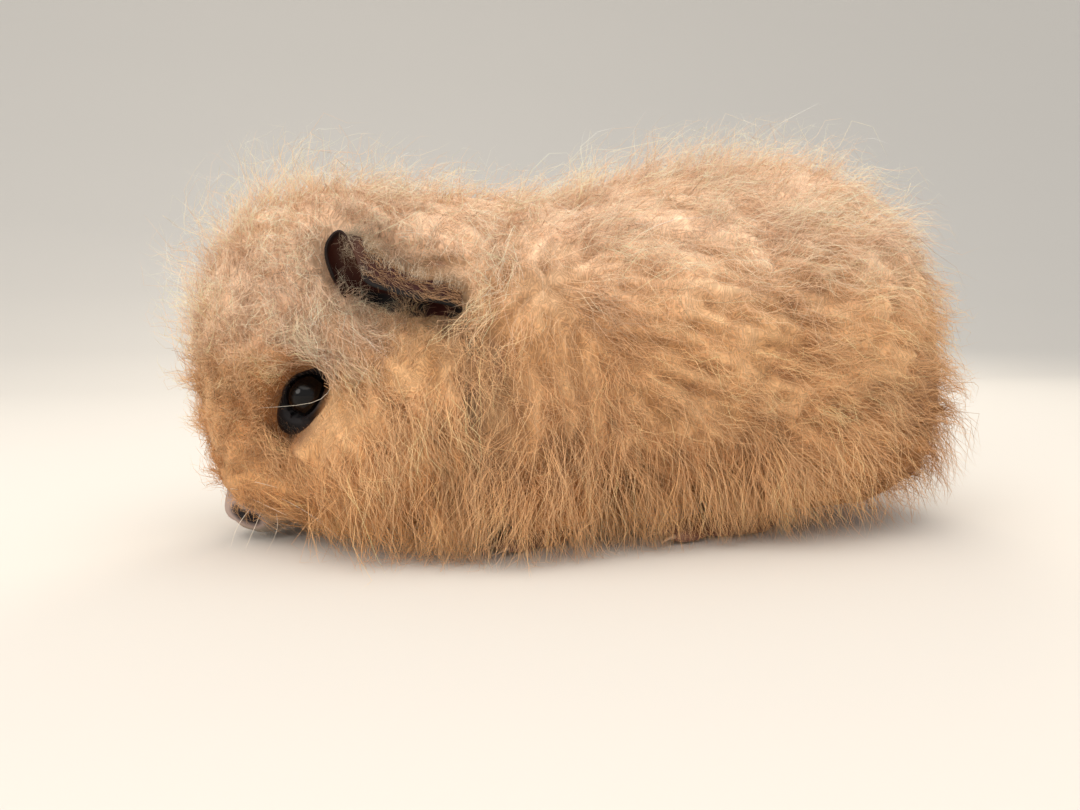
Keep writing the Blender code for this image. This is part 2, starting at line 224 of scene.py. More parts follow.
# %% Lumps of the body
BODY_LUMPS = {
    "chest": ((-18, 0, 36), (32, 28, 28)),
    "barrel": ((20, 0, 38), (44, 33, 31)),
    "rump": ((50, 0, 42), (33, 33, 35)),
    "seat": ((64, 0, 30), (20, 26, 23)),
    "thigh": ((50, 22, 20), (22, 13, 15)),
    "shoulder": ((-18, 18, 27), (15, 12, 19)),
    "forearm": ((-19, 27, 10), (6.5, 6, 10)),
    "neck": ((-40, 0, 44), (24, 23, 24)),
    "throat": ((-50, 0, 20), (20, 16, 14)),
}
HEAD_LUMPS = {
    "skull": ((-57, 0, 47), (22, 18.5, 20)),
    "brow": ((-68, 0, 44), (15, 15.5, 17)),
    "bridge": ((-76, 0, 29), (10.5, 9.5, 20)),
    "cheekbone": ((-62, 8, 31), (13, 10, 14)),
    "cheek": ((-54, 11, 24), (14, 10, 14)),
    "muzzle": ((-78.5, 0, 12.5), (9.5, 7.8, 9)),
    "lip": ((-79.3, 3.6, 6.7), (7.2, 4.8, 5.3)),
    "nose_tip": ((-85.2, 0, 7.3), (3.4, 4.6, 3.8)),
    "chin": ((-70, 0, 7.0), (9, 6.5, 4.6)),
}


def add_ellipsoid(bm, centre, radii, turn=None):
    place = Matrix.Translation(centre) @ (turn or Matrix()) @ Matrix.Diagonal((*radii, 1.0))
    bmesh.ops.create_uvsphere(bm, u_segments=32, v_segments=20, radius=1.0, matrix=place)


def add_lumps(bm, lumps):
    for centre, radii in lumps.values():
        x, y, z = centre
        for across in sorted({y, -y}):
            add_ellipsoid(bm, Vector((x, across, z)) * mm, Vector(radii) * mm)


# %% [markdown]
# The feet are small and bare: four toes in front and three behind, each with its claw. Each
# foot is a flat sole with an ankle and a fan of toes, all set on the floor.

# %% Lumps of the feet
FOREFOOT = {
    "heel": Vector((-15.5, 27.5, 0.0)),
    "sole": (10.0, 7.5, 6.2),
    "toes": ((-24, 6.4, -0.36), (-8, 8.3, -0.13), (8, 8.5, 0.13), (26, 6.7, 0.36)),
    "toe_radius": 1.45,
    "claw": 3.0,
}
HINDFOOT = {
    "heel": Vector((36.0, 29.0, 0.0)),
    "sole": (24.0, 8.6, 7.0),
    "toes": ((-14, 8.9, -0.32), (0, 10.3, 0.0), (15, 8.7, 0.32)),
    "toe_radius": 1.7,
    "claw": 3.8,
}


def toe_rays(foot, side):
    """Each toe's root, its direction and its length, on one side of the animal."""
    length, width, _ = foot["sole"]
    heel = foot["heel"]
    for angle, reach, share in foot["toes"]:
        turn = math.radians(angle)
        root = Vector((heel.x - 0.82 * length, side * (heel.y - share * width), foot["toe_radius"]))
        ahead = Vector((-math.cos(turn), -side * math.sin(turn), 0.0))
        yield root * mm, ahead, reach * mm


def add_foot(bm, foot, side):
    """Adds a sole, an ankle and toes. The shares below are of the sole's own measures."""
    length, width, height = foot["sole"]
    radius = foot["toe_radius"]
    heel = Vector((foot["heel"].x, side * foot["heel"].y, 0.0))
    sole = heel + Vector((-length / 2, 0.0, height * 0.42))
    add_ellipsoid(bm, sole * mm, Vector((length * 0.56, width / 2, height * 0.42)) * mm)
    ankle = heel + Vector((-length * 0.16, 0.0, height * 0.8))
    add_ellipsoid(bm, ankle * mm, Vector((width * 0.62, width / 2, height * 0.8)) * mm)
    for root, ahead, reach in toe_rays(foot, side):
        turn = Matrix.Rotation(math.atan2(ahead.y, ahead.x), 4, "Z")
        radii = Vector((reach * 0.60, radius * mm, radius * mm))
        add_ellipsoid(bm, root + ahead * reach * 0.38, radii, turn)


# %% Fuse the lumps into one skin
SKIN_GRAIN = 0.9  # the spacing of the skin's points, in mm


def worked_out(thing):
    """A new mesh of the object, with its modifiers worked out."""
    return bpy.data.meshes.new_from_object(thing.evaluated_get(bpy.context.evaluated_depsgraph_get()))


def fused(mesh, grain):
    """A new mesh with one even, closed skin over all the bodies of this one."""
    rough = add_object("rough", mesh)
    fuse = rough.modifiers.new("fuse", "REMESH")
    fuse.mode = "VOXEL"
    fuse.voxel_size = grain * mm
    skin = worked_out(rough)
    bpy.data.objects.remove(rough)
    return skin


bm = bmesh.new()
add_lumps(bm, BODY_LUMPS)
add_lumps(bm, HEAD_LUMPS)
for side in (-1, 1):
    add_foot(bm, FOREFOOT, side)
    add_foot(bm, HINDFOOT, side)
body_mesh = fused(mesh_of(bm, "rough"), SKIN_GRAIN)
print("skin points:", len(body_mesh.vertices))

# %% [markdown]
# Clay-like creases between the lumps are smoothed away, more on the body than on the face and
# the toes, whose forms are small. Then the face is refined with smaller faces round the eyes
# and the nose, which need sharper edges than the rest.

# %% Smooth, and refine the face
EYE = np.array((-68.8, 16.2, 33.8)) * mm
EYE_RADIUS = 4.7 * mm
NOSE = np.array((-86.8, 0.0, 7.0)) * mm


def points_of(mesh, what="co"):
    """The mesh's points, or their normals, as an array."""
    flat = np.empty(len(mesh.vertices) * 3, np.float32)
    mesh.vertices.foreach_get(what, flat)
    return flat.reshape(-1, 3).astype(float)


def move_points(mesh, points):
    mesh.vertices.foreach_set("co", points.astype(np.float32).ravel())
    mesh.update()


def smooth_step(value, low, high):
    share = np.clip((value - low) / (high - low), 0.0, 1.0)
    return share * share * (3 - 2 * share)


def soften(bm, verts, rounds):
    for _ in range(rounds):
        bmesh.ops.smooth_vert(
            bm, verts=verts, factor=0.5, use_axis_x=True, use_axis_y=True, use_axis_z=True
        )


bm = bmesh.new()
bm.from_mesh(body_mesh)
tall = [v for v in bm.verts if v.co.z > 8 * mm and v.co.x > -76 * mm]
soften(bm, bm.verts, 3)
soften(bm, tall, 14)
for place, reach in ((EYE * (1, -1, 1), 9.5 * mm), (EYE, 9.5 * mm), (NOSE, 7.0 * mm)):
    near = {v for v in bm.verts if (v.co - Vector(place)).length < reach}
    edges = [e for e in bm.edges if e.verts[0] in near and e.verts[1] in near]
    bmesh.ops.subdivide_edges(bm, edges=edges, cuts=1, use_grid_fill=True, smooth=0.0)
bmesh.ops.triangulate(bm, faces=[f for f in bm.faces if len(f.verts) > 4])
for vertex in bm.verts:
    vertex.co.z = max(vertex.co.z, 0.0)
bm.to_mesh(body_mesh)
bm.free()
print("skin points, refined:", len(body_mesh.vertices))

# %% [markdown]
# ## Eyelids
# A guinea pig's eye is a dark, bulging ball that its lids fit closely. Seen from the side the
# opening is an almond that leans back. Each skin point near the eye is measured in the
# almond's own axes. Inside the almond the skin sinks behind the ball; on its edge it lies on
# the ball as a lid; further out it eases back into the cheek.

# %% Shape the lids
EYE_OUT = np.array((-0.30, 1.0, 0.10))
EYE_LEAN = np.array((0.56, 0.0, 0.83))
ALMOND = (5.5 * mm, 3.8 * mm)  # half length and half width of the opening
LID = 0.55 * mm
LID_REACH, SNAP = 3.2, 0.10  # in shares of the almond: how far it shapes the skin, and its edge
SOCKET = 6 * mm  # how far behind the ball's centre the eye still shapes the skin


def unit(vectors):
    return vectors / np.maximum(np.linalg.norm(vectors, axis=-1, keepdims=True), 1e-12)


def eye_axes(side):
    """The eye's centre and its axes: along the almond, across it and out of the head."""
    mirror = np.array((1.0, side, 1.0))
    out = unit(EYE_OUT * mirror)
    along = unit(EYE_LEAN - out * (EYE_LEAN @ out))
    return EYE * mirror, along, np.cross(out, along), out


def almond_share(points, side, half_length, half_width, ahead=0.0):
    """How far each point is from the almond's middle: 1 is its edge, however it is turned."""
    centre, along, across, out = eye_axes(side)
    from_eye = points - centre
    u, v = from_eye @ along + ahead, from_eye @ across
    share = np.sqrt((u / half_length) ** 2 + (v / half_width) ** 2)
    return np.where(from_eye @ out < -SOCKET, 9.0, share)


def shape_lids(points, side):
    centre, along, across, out = eye_axes(side)
    from_eye = points - centre
    u, v, w = from_eye @ along, from_eye @ across, from_eye @ out
    share = almond_share(points, side, *ALMOND)
    near = (share < LID_REACH) & (w > -SOCKET)
    snap = near & (np.abs(share - 1.0) < SNAP)
    scale = np.where(snap, 1.0 / np.maximum(share, 0.1), 1.0)
    u, v, share = u * scale, v * scale, np.where(snap, 1.0, share)
    off = np.hypot(u, v)
    ball = np.sqrt(np.maximum(EYE_RADIUS**2 - off**2, 0.0))
    lid_ball = np.sqrt(np.maximum((EYE_RADIUS + LID) ** 2 - off**2, 0.0))
    behind = ball * 0.55 - 0.8 * mm
    lid = np.maximum(lid_ball, 0.9 * mm) + 0.35 * mm * np.exp(-(((share - 1.18) / 0.16) ** 2))
    ease = smooth_step(share, 1.25, 2.9)
    outside = lid * (1 - ease) + w * ease
    new_w = np.where(share < 0.985, behind, outside)
    moved = centre + np.outer(u, along) + np.outer(v, across) + new_w[:, None] * out
    return np.where(near[:, None], moved, points)


# %% [markdown]
# ## Nose and mouth
# The nose is a small bare pad with two comma-shaped nostrils and a cleft that runs down to the
# lip. The lips part along a line on each side of the chin. All are pressed into the skin as
# grooves along short paths.

# %% Press the grooves
NOSTRIL_PATH = ((-85.6, 4.8, 7.0), (-83.8, 6.4, 6.2), (-81.4, 7.3, 5.4))
CLEFT_PATH = ((-88.9, 0.0, 7.4), (-87.8, 0.0, 5.2), (-85.5, 0.0, 3.0))
LIP_PATH = ((-86.2, 0.0, 3.2), (-83.0, 3.6, 2.8), (-78.5, 6.2, 4.0), (-73.0, 7.4, 6.4))
GROOVES = ((NOSTRIL_PATH, 1.3, 2.0), (CLEFT_PATH, 0.6, 0.5), (LIP_PATH, 0.9, 0.9))  # width, depth


def distance_to_path(points, path, side=1):
    """Each point's distance to a path of straight pieces."""
    best = np.full(len(points), np.inf)
    mirror = np.array((1.0, side, 1.0))
    corners = [np.array(p) * mm * mirror for p in path]
    for start, end in zip(corners, corners[1:]):
        along = end - start
        share = np.clip((points - start) @ along / (along @ along), 0.0, 1.0)
        best = np.minimum(best, np.linalg.norm(points - start - share[:, None] * along, axis=1))
    return best


def press_grooves(points, normals):
    for path, width, depth in GROOVES:
        for side in (-1, 1):
            away = distance_to_path(points, path, side)
            press = np.exp(-((away / (width * mm)) ** 2)) * depth * mm
            points = points - normals * press[:, None]
    return points


skin_points = press_grooves(points_of(body_mesh), points_of(body_mesh, "normal"))
for side in (-1, 1):
    skin_points = shape_lids(skin_points, side)
move_points(body_mesh, skin_points)
print("skin box:", (skin_points.min(0) / mm).round(1), (skin_points.max(0) / mm).round(1))

# %% [markdown]
# ## Ears
# The ear is a soft petal. Its front lobe stands up like a spoon, and the rest folds over and
# droops. It is laid as a sheet through ten short columns, from the root over the fold to the
# rim, then given the thickness of skin. A Boolean union grows it onto the head.

# %% Lay the ears
EAR_COLUMNS = (
    ((-60.0, 18.0, 53.2), (-61.5, 20.0, 55.6), (-62.5, 21.6, 57.3), (-63.0, 23.0, 58.2)),
    ((-59.5, 16.5, 54.2), (-63.0, 19.3, 58.5), (-64.4, 22.0, 62.2), (-64.5, 24.0, 64.3)),
    ((-58.0, 16.0, 55.0), (-61.8, 19.3, 61.5), (-62.4, 22.3, 66.2), (-61.4, 24.6, 67.8)),
    ((-56.5, 16.0, 55.5), (-59.4, 20.0, 62.2), (-58.2, 24.0, 66.7), (-58.6, 26.6, 61.8)),
    ((-54.2, 16.0, 55.3), (-56.0, 20.6, 61.2), (-55.0, 25.2, 63.4), (-57.0, 29.0, 57.0)),
    ((-51.0, 16.0, 55.0), (-51.4, 21.6, 59.2), (-51.0, 27.0, 60.2), (-51.8, 31.0, 54.9)),
    ((-47.5, 16.3, 54.5), (-46.4, 22.0, 57.3), (-45.8, 28.4, 57.9), (-46.6, 32.0, 53.5)),
    ((-44.8, 17.0, 53.6), (-42.2, 22.4, 56.0), (-41.0, 29.0, 57.2), (-42.2, 32.0, 52.8)),
    ((-44.0, 17.5, 52.6), (-40.6, 22.0, 54.2), (-37.8, 28.4, 55.4), (-38.0, 31.0, 51.6)),
    ((-44.8, 18.0, 51.4), (-42.6, 21.4, 50.9), (-40.6, 24.8, 50.6), (-39.8, 27.2, 50.1)),
)
EAR_WALL = 0.55


# %% The ear's sheet
def through(stops, share):
    """A smooth curve through the stops, at shares from 0 to 1 of the way along."""
    spot = np.clip(share, 0.0, 1.0) * (len(stops) - 1)
    i = np.minimum(spot.astype(int), len(stops) - 2)
    t = (spot - i)[:, None]
    before, after = np.maximum(i - 1, 0), np.minimum(i + 2, len(stops) - 1)
    start, end = stops[i], stops[i + 1]
    leave, arrive = (end - stops[before]) / 2, (stops[after] - start) / 2
    return (
        start * (2 * t**3 - 3 * t**2 + 1)
        + leave * (t**3 - 2 * t**2 + t)
        + end * (3 * t**2 - 2 * t**3)
        + arrive * (t**3 - t**2)
    )


def ear_surface(along, out, side):
    """Points of the ear's middle surface. along runs front to back, out from root to rim."""
    columns = np.array(EAR_COLUMNS) * mm * np.array((1.0, side, 1.0))
    rows = [through(columns[:, row], along) for row in range(columns.shape[1])]
    laid = np.empty_like(rows[0])
    stops = np.stack(rows, 0)
    for k in range(len(along)):
        laid[k] = through(stops[:, k], out[k : k + 1])[0]
    return laid


# %% Grow the ears onto the head
def make_ear(side):
    bm = bmesh.new()
    bmesh.ops.create_grid(bm, x_segments=44, y_segments=16, size=0.5)
    grid = np.array([v.co for v in bm.verts]) + 0.5
    for vertex, place in zip(bm.verts, ear_surface(grid[:, 0], grid[:, 1], side)):
        vertex.co = place
    if side > 0:
        bmesh.ops.reverse_faces(bm, faces=bm.faces)
    ear = add_object("ear", mesh_of(bm, "ear"))
    wall = ear.modifiers.new("wall", "SOLIDIFY")
    wall.thickness = EAR_WALL * mm
    wall.offset = 0.0
    rounding = ear.modifiers.new("rounding", "SUBSURF")
    rounding.levels = rounding.render_levels = 1
    return ear


skin = add_object("skin", body_mesh.copy())
ears = [make_ear(side) for side in (-1, 1)]
for ear in ears:
    grow_on = skin.modifiers.new("ear", "BOOLEAN")
    grow_on.operation = "UNION"
    grow_on.object = ear
    grow_on.solver = "MANIFOLD"
skin_mesh = worked_out(skin)
skin.modifiers.clear()
skin.data = skin_mesh
for ear in ears:
    bpy.data.objects.remove(ear)
print("skin with ears:", len(skin_mesh.vertices), "points,", len(skin_mesh.polygons), "faces")

# %% [markdown]
# ## Markings
# Skin and coat share one set of markings: cream over the back and crown, buff on the flanks, ochre below
# and on the cheeks, more orange at the brow and the bridge of the nose, and a pale grey round the lips.
# Over them lies painted shade: umber low on the rump and on the shoulder, and a deeper tone low on the
# rump. One function gives the colour at any point, from smooth masks.

# %% Where each colour lies
BARE_EYE = (9.4 * mm, 5.0 * mm)


def bare_eye_share(points):
    """1 on the edge of the bare skin round the nearer eye, less inside it and more outside."""
    shares = [almond_share(points, side, *BARE_EYE, ahead=1.6 * mm) for side in (-1, 1)]
    return np.minimum(*shares)


ORANGE_SPOTS = (((-73, 17, 41), 10, 0.45), ((-79, 12, 31), 14, 0.45), ((-19, 36, 12), 14, 0.45))
# Umber painted as shade: low on the rump and on the shoulder.
PAINTED_SHADE_SPOTS = (((70, 30, 16), 34, 0.9), ((-16, 36, 40), 26, 0.25))
MUZZLE_SPOTS = (((-87, 0, 4), 9, 0.9), ((-79, 6, 3), 10, 0.9))


def folded(points):
    """The points with both halves of the body laid on one, as the tables give their places."""
    return np.abs(points) * (0, 1, 0) + points * (1, 0, 1)


def near_spot(points, spot, reach):
    """1 at the spot, easing to 0 at its reach. It holds on both sides of the body."""
    away = np.linalg.norm(folded(points) - np.array(spot) * mm, axis=1)
    return 1.0 - smooth_step(away, 0.25 * reach * mm, reach * mm)


def mix(colours, other, share):
    return colours + (other - colours) * share[:, None]


def markings(points):
    """The coat's colour at each point of the skin, with painted shade low on the rump and on the shoulder.
    """
    x, height = points[:, 0] / mm, points[:, 2] / mm
    height = height + 18 * (1 - smooth_step(x, -62, -45)) * smooth_step(height, 30, 46)
    # Low on the rump the coat counts as lower and takes more ochre: painted shade.
    height = height - 9 * smooth_step(x, 62, 84) * (1 - smooth_step(height, 50, 74))
    colour = np.repeat(BUFF[None], len(points), 0)
    colour = mix(colour, CREAM, smooth_step(height, 44, 74))
    colour = mix(colour, OCHRE, 0.8 * (1 - smooth_step(height, 6, 34)))
    for paint, spots in ((ORANGE, ORANGE_SPOTS), (SHADE_UMBER, PAINTED_SHADE_SPOTS), (MUZZLE_GREY, MUZZLE_SPOTS)):
        for spot, reach, share in spots:
            colour = mix(colour, paint, share * near_spot(points, spot, reach))
    ring = 1 - smooth_step(bare_eye_share(points), 1.0, 1.75)
    ring = ring * (1 - smooth_step(x - EYE[0] / mm, -2.5, 3.5))
    return mix(colour, NEAR_EYE, 0.75 * ring)


# %% [markdown]
# Three things break up the flank: a crease between the cheek and the shoulder, where the wool
# parts, a shallower one that rounds the forearm, and a whorl over the shoulder blade, from which
# the hair runs out in every direction.

# %% Creases and whorl
NECK_CREASE = ((-41.0, 26.0, 56.0), (-35.5, 33.0, 44.0), (-32.5, 36.0, 24.0), (-31.5, 36.0, 4.0))
ARM_CREASE = (
    (-30.5, 38.0, 5.0), (-28.0, 39.5, 16.0), (-19.0, 40.0, 23.5), (-9.0, 39.5, 18.0), (-5.5, 38.0, 6.0)
)
WHORL = np.array((-17.0, 40.0, 55.0))


def parting(points):
    """1 in the bottom of the creases and in the middle of the whorl, easing to 0 around them."""
    seen = folded(points)
    neck = distance_to_path(seen, NECK_CREASE) / mm
    arm = distance_to_path(seen, ARM_CREASE) / mm
    middle = np.linalg.norm(seen / mm - WHORL, axis=1)
    return np.maximum.reduce([
        np.exp(-((np.maximum(neck - 3.0, 0.0) / 3.2) ** 2)),
        0.7 * np.exp(-((np.maximum(arm - 2.0, 0.0) / 2.2) ** 2)),
        0.3 * np.exp(-((np.maximum(middle - 6.0, 0.0) / 3.5) ** 2)),
    ])


# %% [markdown]
# The bare skin is darker than the coat where no wool hides it: slate round the eyes, maroon inside the ears
# with a blackish rim, grey-brown on the nose, and pink on the feet, dulled and darkened as painted shade
# under the coat. Black is painted in the hollow under each ear's flap as its shadow, and near-black in the
# nostrils and along the lips as the shadow inside them. Under the wool the skin takes the coat's markings,
# darkened as painted shade.

# %% Where the bare parts are
def bare_eye(points):
    """1 on the bare skin round each eye, easing to 0 in the coat."""
    return 1.0 - smooth_step(bare_eye_share(points), 0.8, 1.05)


FOLD_EDGE = np.array((-58.8, 0.0, 63.5))
# Under the wool the skin takes the coat's markings, darkened as painted shade of the depth under the wool.
SKIN_UNDER_WOOL_SHADE = 0.62  # how much darker the skin is than the wool over it
ear_grid = np.stack(np.meshgrid(np.linspace(0, 1, 60), np.linspace(0.12, 1, 30)), -1).reshape(-1, 2)
ear_sheet = KDTree(2 * len(ear_grid))
for side in (-1, 1):
    for place in ear_surface(ear_grid[:, 0], ear_grid[:, 1], side):
        ear_sheet.insert(place, 0)
ear_sheet.balance()


def ear_mask(points):
    """1 on the ears, easing to 0 where they join the head."""
    away = np.array([ear_sheet.find(point)[2] for point in points])
    return 1.0 - smooth_step(away, 0.8 * mm, 1.7 * mm)


def shaded_ear_hollow(points):
    """1 in the hollow under the ear's flap, where black is painted as its shadow, easing to 0 where the
    wool begins.
    """
    x, y, z = points.T / mm
    share = np.hypot((x + 51.5) / 12.5, (z - 55.6 + 0.30 * (x + 53.0)) / 3.8)
    return np.where(np.abs(y) > 10, 1.0 - smooth_step(share, 0.8, 1.15), 0.0)


def nostril_distance(points):
    return np.minimum(*[distance_to_path(points, NOSTRIL_PATH, side) for side in (-1, 1)])


def nose_mask(points):
    """1 on the nose pad and round the nostrils, easing to 0 in the fur of the muzzle."""
    away = np.linalg.norm((points - NOSE) * (1.0, 0.85, 1.0), axis=1)
    pad = 1.0 - smooth_step(away, 4.2 * mm, 6.0 * mm)
    return np.maximum(pad, 1.0 - smooth_step(nostril_distance(points), 2.0 * mm, 3.0 * mm))


def foot_mask(points):
    low = 1.0 - smooth_step(points[:, 2], 4.0 * mm, 7.5 * mm)
    x, y = points[:, 0] / mm, np.abs(points[:, 1]) / mm
    fore = (x > -34) & (x < -12) & (y > 22) & (y < 34)
    hind = (x > 2) & (x < 38) & (y > 23) & (y < 36)
    return np.where(fore | hind, low, 0.0)


def toe_mask(points):
    """1 on the soles and on the bare toes, easing to 0 on the tops of the feet."""
    x, z = points[:, 0] / mm, points[:, 2] / mm
    toes = (1 - smooth_step(x, -29, -25)) + (x > 0) * (1 - smooth_step(x, 10, 16))
    return np.maximum(1 - smooth_step(z, 0.8, 2.0), np.clip(toes, 0, 1))


# %% Paint the skin
def colour_layer(mesh, name, colours):
    layer = mesh.color_attributes.new(name, "FLOAT_COLOR", "POINT")
    full = np.ones((len(colours), 4), np.float32)
    full[:, :3] = colours
    layer.data.foreach_set("color", full.ravel())


points = points_of(skin_mesh)
ears_only, feet = ear_mask(points), foot_mask(points)
rim = np.full(len(points), np.inf)
for side in (-1, 1):
    edge = ear_surface(np.linspace(0.0, 1.0, 40), np.ones(40), side)
    for a, b in zip(edge, edge[1:]):
        rim = np.minimum(rim, np.linalg.norm(points - (a + b) / 2, axis=1))
fold = np.exp(-((np.linalg.norm(points * (1, 0, 1) / mm - FOLD_EDGE, axis=1) / 3.6) ** 2))
LAYERS_OF_PAINT = (
    # Black in the hollow under the ear's flap is painted shadow.
    (EAR_BLACK, shaded_ear_hollow(points)),
    (EAR_MAROON, ears_only),
    (EAR_BLACK, ears_only * (1 - smooth_step(rim, 0.8 * mm, 2.4 * mm)) * (1 - 0.8 * fold)),
    (EAR_TAN, 0.3 * ears_only * fold),
    (NEAR_EYE * 0.3, bare_eye(points)),
    (SLATE, 1 - smooth_step(bare_eye_share(points), 0.75, 1.02)),
    (NOSE_SKIN, nose_mask(points)),
    # The feet's fur and soles: their own colours, darkened as painted shade under the coat.
    (FOOT_FUR_IN_SHADE, feet),
    (SOLE_PINK_IN_SHADE, feet * toe_mask(points)),
)
paint_job = markings(points) * SKIN_UNDER_WOOL_SHADE
for colour, share in LAYERS_OF_PAINT:
    paint_job = mix(paint_job, colour, share)
# Near-black in the nostrils and along the parting of the lips is painted shadow inside them.
for path, inner, outer in ((NOSTRIL_PATH, 0.9, 2.3), (LIP_PATH, 0.0, 1.5)):
    for side in (-1, 1):
        away = distance_to_path(points, path, side)
        paint_job = mix(paint_job, NOSTRIL_AND_LIP_SHADOW, 1 - smooth_step(away, inner * mm, outer * mm))
colour_layer(skin_mesh, "skin_colour", paint_job)

# %% Skin material
skin_finish, tree, flesh = new_finish(
    "living_skin", {"Roughness": 0.6, "Specular IOR Level": 0.2}, paint="skin_colour"
)
where = add_node(tree, "ShaderNodeTexCoord").outputs["Object"]
pores = add_node(tree, "ShaderNodeTexNoise", {"Vector": where, "Scale": 1.0 / (1.2 * mm), "Detail": 4.0})
dents = add_node(
    tree, "ShaderNodeBump", {"Height": pores.outputs["Fac"], "Strength": 0.35, "Distance": 0.15 * mm}
)
tree.links.new(dents.outputs["Normal"], flesh.inputs["Normal"])
dress(skin_mesh, skin_finish)
FLESH_NODES = ["head", "lower_jaw", "neck", "trunk", "nose"] + [
    f"{part}_{side}"
    for part in ("foreleg", "hindleg", "forefoot", "hindfoot", "ear")
    for side in ("left", "right")
]
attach(skin, "root")
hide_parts(*FLESH_NODES)

# %% [markdown]
# ## Eyes
# The ball is almost all iris and pupil, both close to black, under a wet cornea that bulges a
# little. The iris shows only as a very dark brown ring, painted on the ball by its height.

# %% Model the eyes
IRIS_BLACK, IRIS_BROWN = linear("080606"), linear("0C0706")
BALL_FIT, BULGE = 0.985, 0.35 * mm
WET = {
    "Roughness": 0.12,
    "IOR": 1.38,
    "Specular IOR Level": 0.15,
    "Coat Weight": 0.25,
    "Coat Roughness": 0.03,
}
cornea = new_finish("wet_cornea_over_dark_iris", WET, paint="eye_colour")[0]

for side, node in ((-1, "eye_left"), (1, "eye_right")):
    centre, along, across, out = eye_axes(side)
    bm = bmesh.new()
    bmesh.ops.create_uvsphere(bm, u_segments=48, v_segments=32, radius=EYE_RADIUS * BALL_FIT)
    facing = Vector((0, 0, 1)).rotation_difference(Vector(out)).to_matrix().to_4x4()
    bmesh.ops.transform(bm, matrix=Matrix.Translation(Vector(centre)) @ facing, verts=bm.verts)
    mesh = mesh_of(bm, node)
    ball_points = points_of(mesh)
    height = (ball_points - centre) @ out / EYE_RADIUS
    bulge = smooth_step(height, 0.55, 1.0) * BULGE
    move_points(mesh, ball_points + bulge[:, None] * out)
    brown = smooth_step(height, 0.45, 0.7) * (1 - smooth_step(height, 0.8, 0.86))
    iris = np.repeat(IRIS_BLACK[None], len(ball_points), 0)
    colour_layer(mesh, "eye_colour", mix(iris, IRIS_BROWN, brown))
    dress(mesh, cornea)
    eye = add_object(f"eyeball_{node[4:]}", mesh)
    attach(eye, "root")
    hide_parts(node)

# %% [markdown]
# ## How the coat lies
# Wool is combed: each guide below is a place on one side of the body, the way the hair runs there, and how
# much it stands, from 0, flat, to 1, straight out. Between guides the coat takes a blend of its neighbours.
# The other side mirrors it, and a soft swirl is added later, so that no two locks agree.

# %% Combing guides
COMBING = {
    "nose_top": ((-88, 0, 14), (0.3, 0.0, 1.0), 0.45),
    "bridge": ((-86, 0, 28), (-0.1, 0.0, 1.0), 0.6),
    "bridge_side": ((-80, 9, 26), (0.1, 0.5, 0.5), 0.4),
    "muzzle_side": ((-80, 8, 11), (0.8, 0.4, 0.0), 0.3),
    "lip": ((-83, 5, 4), (0.6, 0.4, -0.7), 0.3),
    "chin": ((-70, 4, 4), (0.6, 0.4, -0.5), 0.4),
    "forehead": ((-82, 0, 46), (-0.2, 0.0, 1.0), 0.75),
    "brow": ((-77, 12, 46), (0.9, 0.6, 0.5), 0.5),
    "above_eye": ((-71, 16, 42), (1.0, 0.3, 0.15), 0.25),
    "eye_corner": ((-62, 18, 41), (0.7, 0.3, -0.7), 0.3),
    "front_of_eye": ((-77, 13, 33), (0.8, 0.5, 0.1), 0.35),
    "below_eye": ((-73, 13, 25), (0.7, 0.4, -0.5), 0.3),
    "behind_eye": ((-62, 18, 32), (0.2, 0.5, -1.0), 0.32),
    "crown": ((-66, 0, 66), (0.1, 0.0, 1.0), 0.9),
    "crown_side": ((-66, 14, 60), (0.0, 0.9, 0.2), 0.7),
    "before_ear": ((-67, 17, 52), (0.1, 0.5, -0.9), 0.4),
    "below_ear": ((-50, 22, 45), (0.5, 0.5, -0.5), 0.5),
    "cheek": ((-55, 21, 24), (0.15, 0.6, -1.0), 0.4),
    "cheek_low": ((-56, 18, 12), (0.05, 0.7, -1.0), 0.45),
    "nape": ((-46, 0, 68), (0.5, 0.0, 1.0), 0.7),
    "behind_ear": ((-45, 16, 62), (0.5, 0.9, 0.2), 0.55),
    "neck_side": ((-36, 24, 42), (0.1, 0.5, -1.0), 0.4),
    "neck_low": ((-36, 22, 20), (-0.3, 0.5, -1.0), 0.4),
    "withers": ((-15, 0, 66), (0.6, 0.0, 0.8), 0.65),
    "whorl_above": ((-17, 22, 61), (0.1, 0.5, 1.0), 0.45),
    "whorl_front": ((-28, 23, 52), (-0.9, 0.5, 0.1), 0.4),
    "whorl_below": ((-18, 29, 42), (0.1, 0.6, -1.0), 0.36),
    "whorl_back": ((-6, 28, 50), (1.0, 0.6, 0.0), 0.4),
    "shoulder_low": ((-18, 30, 22), (-0.4, 0.6, -1.0), 0.4),
    "forearm": ((-20, 33, 10), (-0.2, 0.7, -0.8), 0.4),
    "back": ((20, 0, 69), (0.6, 0.0, 0.9), 0.6),
    "back_side": ((20, 22, 60), (0.7, 0.7, 0.2), 0.5),
    "flank": ((20, 33, 40), (1.0, 0.6, -0.25), 0.38),
    "flank_low": ((14, 30, 20), (0.4, 0.6, -1.0), 0.4),
    "belly": ((14, 14, 7), (0.3, 0.9, -0.3), 0.35),
    "rump_top": ((55, 0, 77), (0.7, 0.0, 0.8), 0.65),
    "rump_side": ((58, 30, 48), (0.9, 0.7, -0.1), 0.42),
    "haunch": ((52, 34, 22), (1.0, 0.5, -0.4), 0.42),
    "rump_back": ((80, 10, 48), (0.9, 0.3, -0.2), 0.6),
    "seat": ((82, 10, 22), (0.9, 0.3, -0.5), 0.5),
}
guide_places = np.array([g[0] for g in COMBING.values()], float) * mm
guide_ways = unit(np.array([g[1] for g in COMBING.values()], float))
